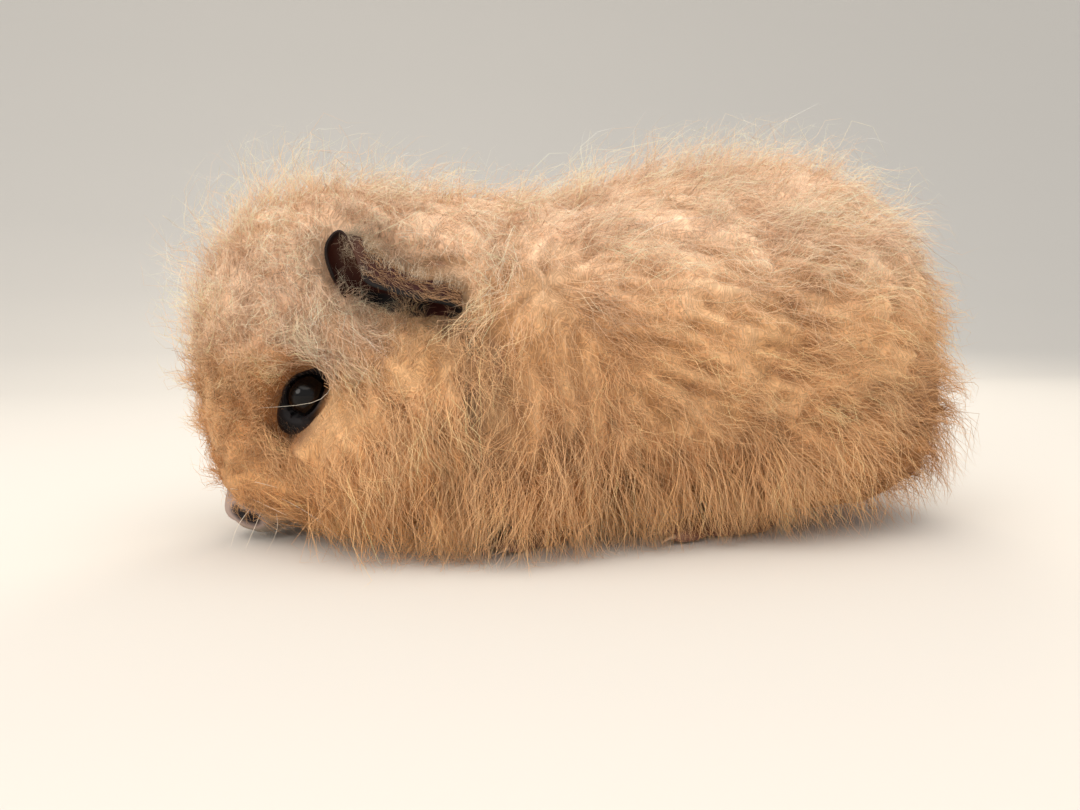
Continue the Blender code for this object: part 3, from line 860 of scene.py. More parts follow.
guide_stands = np.array([g[2] for g in COMBING.values()])
GUIDE_BLUR = 5 * mm


def comb(points, normals):
    """The way the hair runs along the skin at each point, and how much it stands."""
    side = np.tanh(points[:, 1] / (7 * mm))
    away = np.linalg.norm(folded(points)[:, None] - guide_places[None], axis=2)
    weight = 1.0 / (away**2 + GUIDE_BLUR**2) ** 1.7
    weight /= weight.sum(1, keepdims=True)
    way = weight @ guide_ways
    way[:, 1] *= side
    along = way - normals * (way * normals).sum(1, keepdims=True)
    return unit(along), weight @ guide_stands


def ripples(points, size, seed, count=9):
    """A smooth random field between about -1 and 1, which turns over in about the given size."""
    draw = np.random.default_rng(seed)
    waves = unit(draw.normal(size=(count, 3))) * (math.tau / size) * draw.uniform(0.6, 1.5, (count, 1))
    return np.sin(points @ waves.T + draw.uniform(0, math.tau, count)).sum(1) / math.sqrt(count / 2)


def swirl(points, size, seed):
    """A smooth field of vectors of length about 1."""
    fields = [ripples(points, size, 3 * seed + k, 7) for k in range(3)]
    return np.stack(fields, 1) / math.sqrt(3)


# %% [markdown]
# ## How deep the coat is
# The solids say how far the wool reaches. From each point of the skin, a ray is sent in from
# outside towards it. Where it first meets the solids is the surface of the coat, and the rest
# of its way is the coat's depth there. Depths and directions are then evened out over the
# skin, so that the coat has no steps.

# %% Measure the coat over the whole skin
COAT_NODES = ["head", "neck", "trunk", "lower_jaw"]
COAT_NODES += ["foreleg_left", "foreleg_right", "hindleg_left", "hindleg_right"]
FARTHEST = 50 * mm
DEEPEST = 27 * mm
surface_points, surface_faces = [], []
for node in COAT_NODES:
    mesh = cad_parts[node].data
    start = len(surface_points)
    surface_points += [v.co.copy() for v in mesh.vertices]
    surface_faces += [tuple(start + i for i in p.vertices) for p in mesh.polygons]
coat_surface = BVHTree.FromPolygons(surface_points, surface_faces)

skin_points = points_of(body_mesh)
skin_normals = points_of(body_mesh, "normal")
links = np.empty(len(body_mesh.edges) * 2, np.int32)
body_mesh.edges.foreach_get("vertices", links)
link_a, link_b = links.reshape(-1, 2).T
link_count = 1.0 + np.bincount(links, minlength=len(skin_points))


def evened(values, rounds):
    """Values at the skin's points, averaged over and over with those at the next points."""
    columns = values.reshape(len(values), -1).T.copy()
    for _ in range(rounds):
        for k, column in enumerate(columns):
            total = np.bincount(link_a, column[link_b], len(column))
            total += np.bincount(link_b, column[link_a], len(column))
            columns[k] = (column + total) / link_count
    return columns.T.reshape(values.shape)


def cast_depth(point, way):
    hit = coat_surface.ray_cast(Vector(point + way * FARTHEST), Vector(-way), FARTHEST)[3]
    return 0.0 if hit is None else FARTHEST - hit


def furry(points):
    """1 where wool grows; 0 on the eyes, in the ears and on the nose, the soles and the toes."""
    bare = (bare_eye(points), shaded_ear_hollow(points), nose_mask(points), foot_mask(points))
    keep = np.prod([1 - mask for mask in bare], 0)
    return keep * smooth_step(points[:, 2], 0.5 * mm, 2.0 * mm)


skin_ways = unit(evened(skin_normals, 60))
raw_depth = np.array([cast_depth(p, w) for p, w in zip(skin_points, skin_ways)])
skin_depth = evened(np.clip(raw_depth, 0.0, DEEPEST), 40)
print("coat depth:", (np.percentile(skin_depth, [1, 25, 50, 75, 99]) / mm).round(1), "mm")

# %% [markdown]
# ## The underwool
# A guinea pig's woolly undercoat is so dense that it reads as one soft mass, and the eye never
# reaches the skin. It is modelled as a closed felt-like layer that stands on the skin at about
# two thirds of the coat's depth. Where no wool grows it dips under the skin. Its relief is
# drawn out along the way the hair lies, which gives soft locks with hollows between them.

# %% Raise the underwool
UNDERWOOL_SHARE = 0.66
FINE_COAT = 1.2 * mm
UNDERWOOL_GRAIN = 1.15
UNDERWOOL_LOW = 5.0 * mm
TUCK, TUCK_AT_EYE = 0.9 * mm, 2.4 * mm
PARTING_DIP = 0.36

grown = smooth_step(evened(furry(skin_points), 5), 0.35, 1.0)
lift = np.maximum(skin_depth * UNDERWOOL_SHARE - FINE_COAT, 0.0) * grown
lift *= 1 - PARTING_DIP * parting(skin_points + skin_ways * skin_depth[:, None])


def ear_from_the_side():
    """The ear's outline seen from the side, and how far out from the middle it stands there."""
    flat, out = KDTree(len(ear_grid)), []
    for place in ear_surface(ear_grid[:, 0], ear_grid[:, 1], 1):
        flat.insert((place[0], 0.0, place[2]), len(out))
        out.append(place[1])
    flat.balance()
    return flat, np.array(out)


ear_outline, ear_out = ear_from_the_side()
UNDER_EAR, EAR_CLEARANCE = 3.5 * mm, 1.0 * mm
raised = skin_points + skin_ways * lift[:, None]
x, y, z = raised.T / mm
for k in np.flatnonzero((x > -69) & (x < -33) & (z > 44) & (z < 72) & (np.abs(y) > 12)):
    found = ear_outline.find_range((raised[k, 0], 0.0, raised[k, 2]), UNDER_EAR)
    if found:
        away = min(distance for _, _, distance in found)
        near_by = [ear_out[i] for _, i, distance in found if distance < away + EAR_CLEARANCE]
        limit = max(near_by) - EAR_CLEARANCE + 1.5 * away
        slope = max(abs(skin_ways[k, 1]), 0.3)
        lift[k] = min(lift[k], max(limit - abs(skin_points[k, 1]), 0.0) / slope)
lift = evened(lift, 2)
tuck = (TUCK + (TUCK_AT_EYE - TUCK) * bare_eye(skin_points)) * (1 - smooth_step(lift, 0.0, 1.0 * mm))
wool_points = skin_points + skin_ways * (lift - tuck)[:, None]
wool_points[:, 2] = np.maximum(wool_points[:, 2], np.minimum(UNDERWOOL_LOW, skin_points[:, 2] + 0.3 * mm))

swollen_mesh = body_mesh.copy()
move_points(swollen_mesh, wool_points)
underwool_mesh = fused(swollen_mesh, UNDERWOOL_GRAIN)
bm = bmesh.new()
bm.from_mesh(underwool_mesh)
soften(bm, [v for v in bm.verts if v.co.x > -74 * mm], 6)
bmesh.ops.triangulate(bm, faces=bm.faces)
bm.to_mesh(underwool_mesh)
bm.free()

# %% Draw the locks into its relief
LOCK_RUN = np.linspace(-5, 5, 7) * mm
LOCK_WIDTH, PATCHINESS = 4.2 * mm, 13 * mm


def lock_relief(points, along):
    """Soft locks drawn out along the lie of the hair: above 0 on a lock, below 0 between two."""
    streaks = np.mean([ripples(points + along * run, LOCK_WIDTH, 41, 24) for run in LOCK_RUN], 0)
    return np.clip(1.5 * streaks + 0.35 * ripples(points, PATCHINESS, 43), -1.5, 1.5)


# The underwool is painted darker than the hair as shade deep in the coat, lighter on its locks and darker
# in the hollows between them, as painted light and shade.
FELT_DEPTH_SHADE, RELIEF_LIGHT_AND_SHADE = np.array((0.86, 0.78, 0.69)), np.array((0.19, 0.209, 0.228))
RELIEF_SHARE, RELIEF_MOST = 0.28, 0.95 * mm

felt = points_of(underwool_mesh)
felt_normals = points_of(underwool_mesh, "normal")
relief = lock_relief(felt, comb(felt, felt_normals)[0])
room = np.array([coat_surface.find_nearest(Vector(point))[3] for point in felt])
on_head = 1 - smooth_step(felt[:, 0] / mm, -58, -38)
on_top = smooth_step(felt_normals[:, 2], 0.3, 0.8)
evenness = np.maximum(0.75 * on_head, 0.6 * on_top)
height = np.clip(room * RELIEF_SHARE, 0.0, RELIEF_MOST) * furry(felt) * (1 - evenness)
felt = felt + felt_normals * (relief * height)[:, None]
move_points(underwool_mesh, felt)
# Lighter on the locks, darker between them and in the creases: painted light and shade.
felt_light_and_shade = FELT_DEPTH_SHADE + (relief * (1 - 0.6 * evenness))[:, None] * RELIEF_LIGHT_AND_SHADE
felt_light_and_shade *= 1 - 0.4 * parting(felt)[:, None]
felt_colours = np.clip(markings(felt) * np.clip(felt_light_and_shade, 0.4, 1.1), 0, 1)
colour_layer(underwool_mesh, "fur_colour", felt_colours)
wool_surface = BVHTree.FromPolygons(
    [Vector(point) for point in felt], [tuple(p.vertices) for p in underwool_mesh.polygons]
)
print("underwool:", len(underwool_mesh.polygons), "faces")

# %% [markdown]
# ## Unwraps
# Each lock gets its own small patch of texture at the place of its root. The places come from
# an unwrap of the bare skin. The underwool is one surface and has an unwrap of its own.

# %% Unwrap the skin and the underwool
def unwrapped(mesh, map_name):
    """Unwraps the mesh by its own shape, and returns the corners of its triangles."""
    owner = add_object("unwrap", mesh)
    bpy.context.view_layer.objects.active = owner
    owner.select_set(True)
    bpy.ops.object.mode_set(mode="EDIT")
    bpy.ops.mesh.select_all(action="SELECT")
    bpy.ops.mesh.quads_convert_to_tris()
    bpy.ops.uv.smart_project(island_margin=0.001)
    bpy.ops.object.mode_set(mode="OBJECT")
    bpy.data.objects.remove(owner)
    mesh.uv_layers.active.name = map_name
    places = np.empty(len(mesh.loops) * 2, np.float32)
    mesh.uv_layers.active.data.foreach_get("uv", places)
    corners = np.empty(len(mesh.loops), np.int32)
    mesh.loops.foreach_get("vertex_index", corners)
    return corners.reshape(-1, 3), places.reshape(-1, 3, 2).astype(float)


unwrapped(underwool_mesh, "OFBake")
corners, corner_uv = unwrapped(body_mesh, "OFBake")
triangles = skin_points[corners]
areas = np.linalg.norm(
    np.cross(triangles[:, 1] - triangles[:, 0], triangles[:, 2] - triangles[:, 0]), axis=1
) / 2
middles = triangles.mean(1)
middle_ways = skin_ways[corners].mean(1)
print("skin area:", round(areas.sum() / mm**2), "mm2")

# %% [markdown]
# ## Wool as a material
# Wool has no shine of its own, only a soft glow where light grazes it. The same finish serves
# the underwool and every hair, with fine fibre-like dents on the underwool.

# %% Wool materials
WOOL = {
    "Roughness": 0.75,
    "Specular IOR Level": 0.2,
    "Sheen Weight": 0.3,
    "Sheen Roughness": 0.5,
    "Sheen Tint": rgba(linear("FFEBD0")),
}
crimped_wool = new_finish("crimped_wool", WOOL, paint="fur_colour")[0]

# %% [markdown]
# On the underwool, fine wavy lines stand in for its fibres. They are the level lines of a
# smooth noise, as on a map of hills: the sine of the noise, many times over, rises and falls
# about every third of a millimetre. They are drawn out downwards, as most of the coat hangs,
# and they tint the wool as well as denting it.

# %% Felted underwool
TANGLE, FIBRE_TURNS, HANG = 3.0 * mm, 70.0, 0.4

felted_wool, tree, felt_shader = new_finish("felted_underwool", WOOL, paint="fur_colour")
tone = felt_shader.inputs["Base Color"].links[0].from_socket
where = add_node(tree, "ShaderNodeTexCoord").outputs["Object"]
hung = add_node(tree, "ShaderNodeMapping", {"Vector": where, "Scale": (1.0, 1.0, HANG)})
hills = add_node(
    tree,
    "ShaderNodeTexNoise",
    {
        "Vector": hung.outputs["Vector"],
        "Scale": 1.0 / TANGLE,
        "Detail": 2.5,
        "Roughness": 0.55,
        "Distortion": 0.9,
    },
)
turns = add_node(tree, "ShaderNodeMath", {0: hills.outputs["Fac"], 1: FIBRE_TURNS}, operation="MULTIPLY")
lines = add_node(tree, "ShaderNodeMath", {0: turns.outputs["Value"]}, operation="SINE").outputs["Value"]
shade = add_node(
    tree,
    "ShaderNodeMapRange",
    {"Value": lines, "From Min": -1.0, "From Max": 1.0, "To Min": 0.80, "To Max": 1.12},
)
tinted = add_node(
    tree, "ShaderNodeVectorMath", {"Vector": tone, "Scale": shade.outputs["Result"]}, operation="SCALE"
)
grain = add_node(
    tree,
    "ShaderNodeTexNoise",
    {"Vector": where, "Scale": 1.0 / (0.9 * mm), "Detail": 5.0, "Roughness": 0.7},
)
lumps = add_node(
    tree, "ShaderNodeBump", {"Height": grain.outputs["Fac"], "Strength": 1.0, "Distance": 0.4 * mm}
)
dents = add_node(
    tree,
    "ShaderNodeBump",
    {"Height": lines, "Strength": 0.8, "Distance": 0.07 * mm, "Normal": lumps.outputs["Normal"]},
)
tree.links.new(tinted.outputs["Vector"], felt_shader.inputs["Base Color"])
tree.links.new(dents.outputs["Normal"], felt_shader.inputs["Normal"])


def add_coat_piece(name, mesh, finish):
    dress(mesh, finish)
    piece = add_object(name, mesh)
    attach(piece, "root")


add_coat_piece("coat_underwool", underwool_mesh, felted_wool)

# %% [markdown]
# ## Roots
# Roots are scattered evenly over the skin, more closely where the hair is fine. Each knows
# the coat's depth and direction there and its place on the unwrap. A hair shows only above the
# underwool, so it is modelled from just inside that layer.

# %% Scatter roots
SUNK = 0.6 * mm
FLOOR_CLEARANCE = 0.35 * mm
CELL = 1.5 * mm


def neighbour_order(points):
    """An order that visits nearby places one after another, by weaving the digits of x, y and z."""
    cells = ((points - points.min(0)) / CELL).astype(np.int64)
    code = np.zeros(len(points), np.int64)
    for digit in range(8):
        for axis in range(3):
            code |= ((cells[:, axis] >> digit) & 1) << (3 * digit + axis)
    return np.argsort(code, kind="stable")


order = neighbour_order(middles)


def wool_height(place, way, depth):
    """How high the underwool stands over a place of the skin; 0 where it is bare."""
    reach = depth + CELL
    distance = wool_surface.ray_cast(Vector(place + way * reach), Vector(-way), reach)[3]
    return 0.0 if distance is None else max(reach - distance, 0.0)


def scatter(count, density, seed):
    draw = np.random.default_rng(seed)
    share = (areas * density(middles, middle_ways))[order].cumsum()
    spots = (np.arange(count) + draw.random(count)) / count * share[-1]
    picked = order[np.searchsorted(share, spots)]
    a, b = draw.random((2, count, 1))
    flip = a + b > 1
    a, b = np.where(flip, 1 - a, a), np.where(flip, 1 - b, b)
    weights = np.concatenate([1 - a - b, a, b], 1)

    def blend(values):
        return (values[corners[picked]] * weights[:, :, None]).sum(1)

    way = unit(blend(skin_ways))
    at_skin = blend(skin_points)
    depth = blend(skin_depth[:, None])[:, 0]
    start = np.array([wool_height(*spot) for spot in zip(at_skin, way, depth)])
    root = at_skin + way * (start - SUNK)[:, None]
    root[:, 2] = np.maximum(root[:, 2], FLOOR_CLEARANCE)
    return {
        "root": root,
        "way": way,
        "rest": np.maximum(depth - start, 0.8 * mm),
        "outer": at_skin + way * depth[:, None],
        "uv": (corner_uv[picked] * weights[:, :, None]).sum(1),
    }


# %% How close each kind of hair stands
def cover(points):
    """1 wherever wool grows at all, so that the coat ends in a full edge and not in a thin one."""
    return smooth_step(furry(points), 0.05, 0.4)


def body_density(points, ways):
    """Locks stand closer on the head, where the wool is finer, and thinly under the belly."""
    head = 1 - smooth_step(points[:, 0] / mm, -50, -24)
    under = smooth_step(-ways[:, 2], 0.5, 0.8)
    return cover(points) * (1.0 + 1.0 * head) * (1.0 - 0.85 * under)


def face_density(points, ways):
    """The fine short hair of the face, closest on the muzzle and round the eyes."""
    face = 1 - smooth_step(points[:, 0] / mm, -66, -46)
    low = 1 - smooth_step(points[:, 2] / mm, 34, 60)
    eyes = np.exp(-((bare_eye_share(points) - 1.0) ** 2) / 0.35)
    behind = near_spot(points, (-70, 17, 22), 9) + near_spot(points, (-66, 19, 28), 9)
    return cover(points) * face * (0.4 + 0.5 * low + 0.7 * eyes + 1.6 * behind)


def eyelid_density(points, ways):
    """The dark bare skin round the ball of the eye, without the ball."""
    balls = [almond_share(points, side, *ALMOND) for side in (-1, 1)]
    return smooth_step(np.minimum(*balls), 1.05, 1.25) * (bare_eye_share(points) < 1.3)


def fringe_density(points, ways):
    """The lower edge of the coat along both sides, from the cheeks to the seat."""
    x, y, z = points.T / mm
    band = smooth_step(z, 5, 11) * (1 - smooth_step(z, 24, 34))
    outward = smooth_step(np.hypot(ways[:, 1], np.clip(ways[:, 0], 0, 1)), 0.4, 0.8)
    legs = 1.6 * np.exp(-(((x + 22) / 9) ** 2)) + 1.8 * np.exp(-(((x - 22) / 16) ** 2))
    return cover(points) * band * outward * (x > -66) * (0.6 + legs)


# %% [markdown]
# ## Growing hair
# A lock starts out of the underwool, then bends over and droops as it grows, while the swirl
# leads it astray. Each hair of the lock follows it, a little to one side, with a wave of its
# own: that is what makes wool frizzy rather than sleek.

# %% Grow guides and hairs
DOWN = np.array((0.0, 0.0, -1.0))


def grow(roots, normals, along, stand, lengths, steps, astray, droop, seed=5):
    """Paths of steps + 1 points, from the roots to the tips. seed picks the swirl."""
    here, paths = roots.copy(), [roots]
    step = (lengths / steps)[:, None]
    for i in range(steps):
        t = (i + 0.5) / steps
        up = (stand * (1 - 0.5 * t))[:, None]
        way = normals * up + along * (1 - up) + DOWN * (droop * t)
        way = way + swirl(here, 17 * mm, seed) * astray * 0.5 + swirl(here, 6 * mm, seed + 1) * astray
        here = here + unit(way) * step
        here[:, 2] = np.maximum(here[:, 2], FLOOR_CLEARANCE)
        paths.append(here)
    return np.stack(paths, 1)


# %% Frizz and strays
def frizzed(paths, draw, size, turns):
    """Adds to each path a wave round its own line, wider towards the tip."""
    count, points = paths.shape[:2]
    way = unit(paths[:, -1] - paths[:, 0])
    side = unit(np.cross(way, unit(draw.normal(size=(count, 3)))))
    other = np.cross(way, side)
    t = np.linspace(0, 1, points)[None]
    turn = draw.uniform(*turns, (count, 1)) * math.tau * t + draw.uniform(0, math.tau, (count, 1))
    reach = size[:, None] * t**0.6
    wave = side[:, None] * (np.cos(turn) * reach)[..., None]
    wave += other[:, None] * (np.sin(turn) * reach * 0.8)[..., None]
    moved = paths + wave - wave[:, :1]
    moved[:, :, 2] = np.maximum(moved[:, :, 2], FLOOR_CLEARANCE)
    return moved


STRAY = 0.17


def strayed(paths, draw, amount):
    """Leans each path to a random side, by a share of its length."""
    length = np.linalg.norm(paths[:, -1] - paths[:, 0], axis=1)
    lean = draw.normal(size=(len(paths), 3)) * (amount * length)[:, None]
    return paths + lean[:, None] * np.linspace(0, 1, paths.shape[1])[None, :, None]


# %% Keep the tips near the coat's surface
WIDEST, HIGHEST = cad_high.y + 3 * mm, cad_high.z + 3.5 * mm
SHORTEST = 0.25  # of a hair's length, however far it would reach


def kept_inside(paths, allowed):
    """Shortens each path whose tip would reach past the coat's surface by more than allowed."""
    for _ in range(2):
        past = np.empty(len(paths))
        for k, tip in enumerate(paths[:, -1]):
            near, normal, _, away = coat_surface.find_nearest(Vector(tip))
            past[k] = away if (Vector(tip) - near).dot(normal) > 0 else -away
        length = np.linalg.norm(paths[:, -1] - paths[:, 0], axis=1)
        width, height = np.abs(paths[:, :, 1]), paths[:, :, 2]
        room_aside = (WIDEST - width[:, 0]) / np.maximum(width.max(1) - width[:, 0], 1e-6)
        room_above = (HIGHEST - height[:, 0]) / np.maximum(height.max(1) - height[:, 0], 1e-6)
        share = 1.0 - (past - allowed) / np.maximum(length, 1e-6)
        share = np.clip(np.minimum(share, np.minimum(room_aside, room_above)), SHORTEST, 1.0)
        paths = paths[:, :1] + (paths - paths[:, :1]) * share[:, None, None]
    paths[:, :, 2] = np.maximum(paths[:, :, 2], FLOOR_CLEARANCE)
    return paths


# %% The hairs of a lock
def hairs_of(guides, per_lock, draw, spread, gather, frizz, turns, shortest):
    """The hairs of each lock, beside its guide, drawn together towards the tip."""
    paths = np.repeat(guides, per_lock, 0)
    count, points = paths.shape[:2]
    share = draw.uniform(shortest, 1.0, count)
    reach = np.minimum(np.linspace(0, 1, points)[None] * share[:, None] * (points - 1), points - 1.001)
    i = reach.astype(int)
    t = (reach - i)[..., None]
    rows = np.arange(count)[:, None]
    cut = paths[rows, i] * (1 - t) + paths[rows, i + 1] * t
    aside = draw.normal(size=(count, 3))
    way = unit(guides[:, 1] - guides[:, 0]).repeat(per_lock, 0)
    aside -= way * (aside * way).sum(1, keepdims=True)
    aside = unit(aside) * (spread * np.sqrt(draw.random(count)))[:, None]
    closing = 1.0 - gather * np.linspace(0, 1, points)
    cut = cut + aside[:, None] * closing[None, :, None]
    cut = strayed(cut, draw, STRAY)
    return frizzed(cut, draw, frizz.repeat(per_lock) * draw.uniform(0.4, 1.6, count), turns)


# %% [markdown]
# ## Hair as mesh
# A single hair is a tapering spike with three sides, closed at the root and pointed at the
# tip, so that it has a true surface from every side and costs few faces. Thousands of them are
# laid down at once as arrays. Each hair's texture patch is 0.003 wide, at its root's place on
# the unwrap.

# %% Turn paths into a mesh
PATCH = 0.003
SIDES = 3


def spike_faces(rings):
    """Corner numbers, face starts and patch places of one hair with this many rings."""
    loops, starts, places = [], [], []
    for ring in range(rings - 1):
        for s in range(SIDES):
            starts.append(len(loops))
            a, b = ring * SIDES + s, ring * SIDES + (s + 1) % SIDES
            loops += [a, b, b + SIDES, a + SIDES]
            places += [(s, ring), (s + 1, ring), (s + 1, ring + 1), (s, ring + 1)]
    for s in range(SIDES):
        starts.append(len(loops))
        loops += [(rings - 1) * SIDES + s, (rings - 1) * SIDES + (s + 1) % SIDES, rings * SIDES]
        places += [(s, rings - 1), (s + 1, rings - 1), (s + 0.5, rings)]
    starts.append(len(loops))
    loops += [0, 2, 1]
    places += [(0, 0), (2, 0), (1, 0)]
    return np.array(loops), np.array(starts), np.array(places) / (SIDES, rings) - 0.5


# %% Many hairs in one mesh
def hair_mesh(name, paths, thickness, colours, root_uv):
    """One mesh of many hairs. thickness is each hair's radius at its root."""
    count, rings = len(paths), paths.shape[1] - 1
    tangent = unit(np.gradient(paths, axis=1))
    turn = np.random.default_rng(count).normal(size=(count, 1, 3))
    side = unit(np.cross(tangent, turn))
    other = np.cross(tangent, side)
    taper = (1.0 - np.arange(rings) / rings) ** 0.6
    radius = thickness[:, None] * taper[None]
    angle = np.arange(SIDES) * math.tau / SIDES
    ring = np.cos(angle)[:, None] * side[:, :rings, None]
    ring += np.sin(angle)[:, None] * other[:, :rings, None]
    ring = paths[:, :rings, None] + ring * radius[:, :, None, None]
    points = np.concatenate([ring.reshape(count, -1, 3), paths[:, -1:]], 1)
    per_hair = points.shape[1]
    tones = np.concatenate([colours[:, :rings].repeat(SIDES, 1), colours[:, -1:]], 1)

    loops, starts, places = spike_faces(rings)
    all_loops = (np.arange(count)[:, None] * per_hair + loops[None]).ravel()
    all_starts = (np.arange(count)[:, None] * len(loops) + starts[None]).ravel()
    uvs = (root_uv[:, None] + places[None] * PATCH).reshape(-1, 2)

    mesh = bpy.data.meshes.new(name)
    mesh.vertices.add(count * per_hair)
    mesh.vertices.foreach_set("co", points.astype(np.float32).ravel())
    mesh.loops.add(len(all_loops))
    mesh.loops.foreach_set("vertex_index", all_loops.astype(np.int32))
    mesh.polygons.add(len(all_starts))
    mesh.polygons.foreach_set("loop_start", all_starts.astype(np.int32))
    mesh.update(calc_edges=True)
    mesh.uv_layers.new(name="OFBake").data.foreach_set("uv", uvs.astype(np.float32).ravel())
    colour_layer(mesh, "fur_colour", tones.reshape(-1, 3))
    return mesh


# %% Colour along a hair
# Deep at the root, partly painted shade of the coat's depth; pale at the tip, partly painted glow of light
# through it.
ROOT_TONE_AND_SHADE, TIP_TONE_AND_GLOW = np.array((0.74, 0.65, 0.54)), np.array((1.13, 1.14, 1.17))
LOCK_VARIES, HAIR_VARIES = 0.10, 0.14


def hair_colours(places, points, draw, per_lock, lighten):
    """Root to tip: deep and warm at the root, partly as painted shade of the coat's depth, and pale at the
    tip, partly as painted glow, with a random shade for each lock. Hairs rooted on a lock are painted
    lighter, and those between locks or in a crease darker, as painted light and shade.
    """
    outward = unit(places * (0.15, 1.0, 1.0) - np.array((0.0, 0.0, 40 * mm)))
    # Painted light and shade: lighter for a hair rooted on a lock, darker between locks and in the creases.
    tone = 1 + 0.13 * lock_relief(places, comb(places, outward)[0]) - 0.22 * parting(places)
    base = markings(places) * tone[:, None]
    lock_shade = draw.normal(1.0, LOCK_VARIES, len(places) // per_lock).repeat(per_lock)
    hair_shade = draw.normal(1.0, HAIR_VARIES, len(places))
    base = base * (lock_shade * hair_shade * lighten)[:, None]
    t = np.linspace(0, 1, points)[None, :, None]
    return np.clip(base[:, None] * (ROOT_TONE_AND_SHADE + (TIP_TONE_AND_GLOW - ROOT_TONE_AND_SHADE) * t**0.8), 0.0, 0.95)


# %% [markdown]
# No wool hangs across the eyes, and the ears lie on the coat, not under it.

# %% Keep the eyes and ears clear
EAR_CLEAR, NOSTRIL_CLEAR = 0.9 * mm, 2.1 * mm


def over_ear(points):
    """Whether each point lies outside an ear, seen from the side."""
    x, y, z = points.T / mm
    near = np.flatnonzero((x > -67) & (x < -37) & (z > 53.2) & (z < 70) & (np.abs(y) > 17))
    over = np.zeros(len(points), bool)
    for k in near:
        over[k] = ear_outline.find((points[k, 0], 0.0, points[k, 2]))[2] < EAR_CLEAR
    return over


def clear_of_eyes_and_ears(paths, edge):
    """Picks the hairs that reach neither past the given share of the eye nor over ear or nostril."""
    between = (paths[:, 1:] + paths[:, :-1]) / 2
    points = np.concatenate([paths[:, 1:], between], 1).reshape(-1, 3)
    hidden = (bare_eye_share(points) < edge) | over_ear(points)
    hidden |= nostril_distance(points) < NOSTRIL_CLEAR
    return ~hidden.reshape(len(paths), -1).any(1)


# %% [markdown]
# The coat is divided into pieces by where its hairs are rooted: left and right, and bands from
# head to rump with the same number of hairs in each, so that no piece grows too heavy.

# %% Divide the coat into pieces
def add_bands(name, bands, hairs, thickness, colours, root_uv, edge=0.88):
    """Adds the hairs as pieces. edge says how near the eye they come: 1 is the coat's edge."""
    keep = clear_of_eyes_and_ears(hairs, edge)
    hairs, thickness, colours, root_uv = hairs[keep], thickness[keep], colours[keep], root_uv[keep]
    print(name, len(hairs), "hairs")
    for side, on_side in (("left", hairs[:, 0, 1] < 0), ("right", hairs[:, 0, 1] >= 0)):
        chosen = np.flatnonzero(on_side)
        order = chosen[np.argsort(hairs[chosen, 0, 0], kind="stable")]
        for band, rows in enumerate(np.array_split(order, bands), start=1):
            piece = f"{name}_{side}_{band}"
            mesh = hair_mesh(piece, hairs[rows], thickness[rows], colours[rows], root_uv[rows])
            add_coat_piece(piece, mesh, crimped_wool)


# %% Grow the locks
LOCKS, PER_LOCK, LOCK_STEPS = 6600, 5, 4


def sized(lengths, share, low, high):
    """A share of each length, kept between low and high, in mm."""
    return np.clip(lengths * share, low * mm, high * mm)


def sow(count, density, seed):
    """Scattered and combed roots, with a random source of their own."""
    roots = scatter(count, density, seed)
    return (roots, *comb(roots["root"], roots["way"]), np.random.default_rng(seed + 10))


def hair_lengths(roots, stand):
    """Long enough for a hair that leans over to reach the coat's surface at its tip."""
    rise = np.clip(stand * 1.15, 0.38, 1.0)
    return np.clip((roots["rest"] + SUNK) / rise, 3.6 * mm, 19 * mm)


roots, along, stand, draw = sow(LOCKS, body_density, seed=11)
stand = np.clip(stand * draw.uniform(0.7, 1.25, LOCKS), 0.12, 1.0)
lengths = hair_lengths(roots, stand)
print("lock length:", (np.percentile(lengths, [1, 25, 50, 75, 99]) / mm).round(1), "mm")
guides = grow(roots["root"], roots["way"], along, stand, lengths, LOCK_STEPS, astray=0.6, droop=0.25)
guides = kept_inside(guides, 1.2 * mm)
frizz = sized(lengths, 0.13, 0.3, 1.4)
add_bands(
    "coat_locks",
    2,
    hairs_of(
        guides, PER_LOCK, draw, spread=2.3 * mm, gather=0.4, frizz=frizz, turns=(0.8, 1.7), shortest=0.6
    ),
    sized(lengths, 0.0078, 0.042, 0.07).repeat(PER_LOCK),
    hair_colours(roots["outer"].repeat(PER_LOCK, 0), LOCK_STEPS + 1, draw, PER_LOCK, 1.04),
    roots["uv"].repeat(PER_LOCK, 0),
)

# %% [markdown]
# On the face the coat is short and fine and lies close. It is combed back from the nose, over
# and under the eye, and its tips overlap the dark rim of the lids.

# %% Grow the hair of the face
FACE_HAIRS, FACE_STEPS = 15500, 3

roots, along, stand, draw = sow(FACE_HAIRS, face_density, seed=13)
stand = np.clip(stand * draw.uniform(0.6, 1.2, FACE_HAIRS), 0.12, 1.0)
x, _, z = roots["root"].T / mm
muzzle = 1 - smooth_step(x, -82, -72) * smooth_step(z, 6, 20)
lengths = np.clip(hair_lengths(roots, stand), 3.2 * mm, 9 * mm) * draw.uniform(0.7, 1.15, FACE_HAIRS)
lengths *= 1 - 0.3 * muzzle
face = grow(roots["root"], roots["way"], along, stand, lengths, FACE_STEPS, astray=0.45, droop=0.15)
face = strayed(frizzed(face, draw, lengths * 0.07, (0.4, 1.1)), draw, STRAY)
face = kept_inside(face, 1.2 * mm)
add_bands(
    "coat_face",
    1,
    face,
    sized(lengths, 0.0095, 0.04, 0.065),
    hair_colours(roots["outer"], FACE_STEPS + 1, draw, 1, 1.05),
    roots["uv"],
)

# %% [markdown]
# Round the ball of the eye the skin is dark and all but bare. Very short hairs lie on it, dark
# beside the ball and brown where they meet the coat, and soften its edge.

# %% Grow the hair of the eyelids
LID_HAIRS, LID_STEPS = 2500, 3
LID_DARK = linear("1C1310")

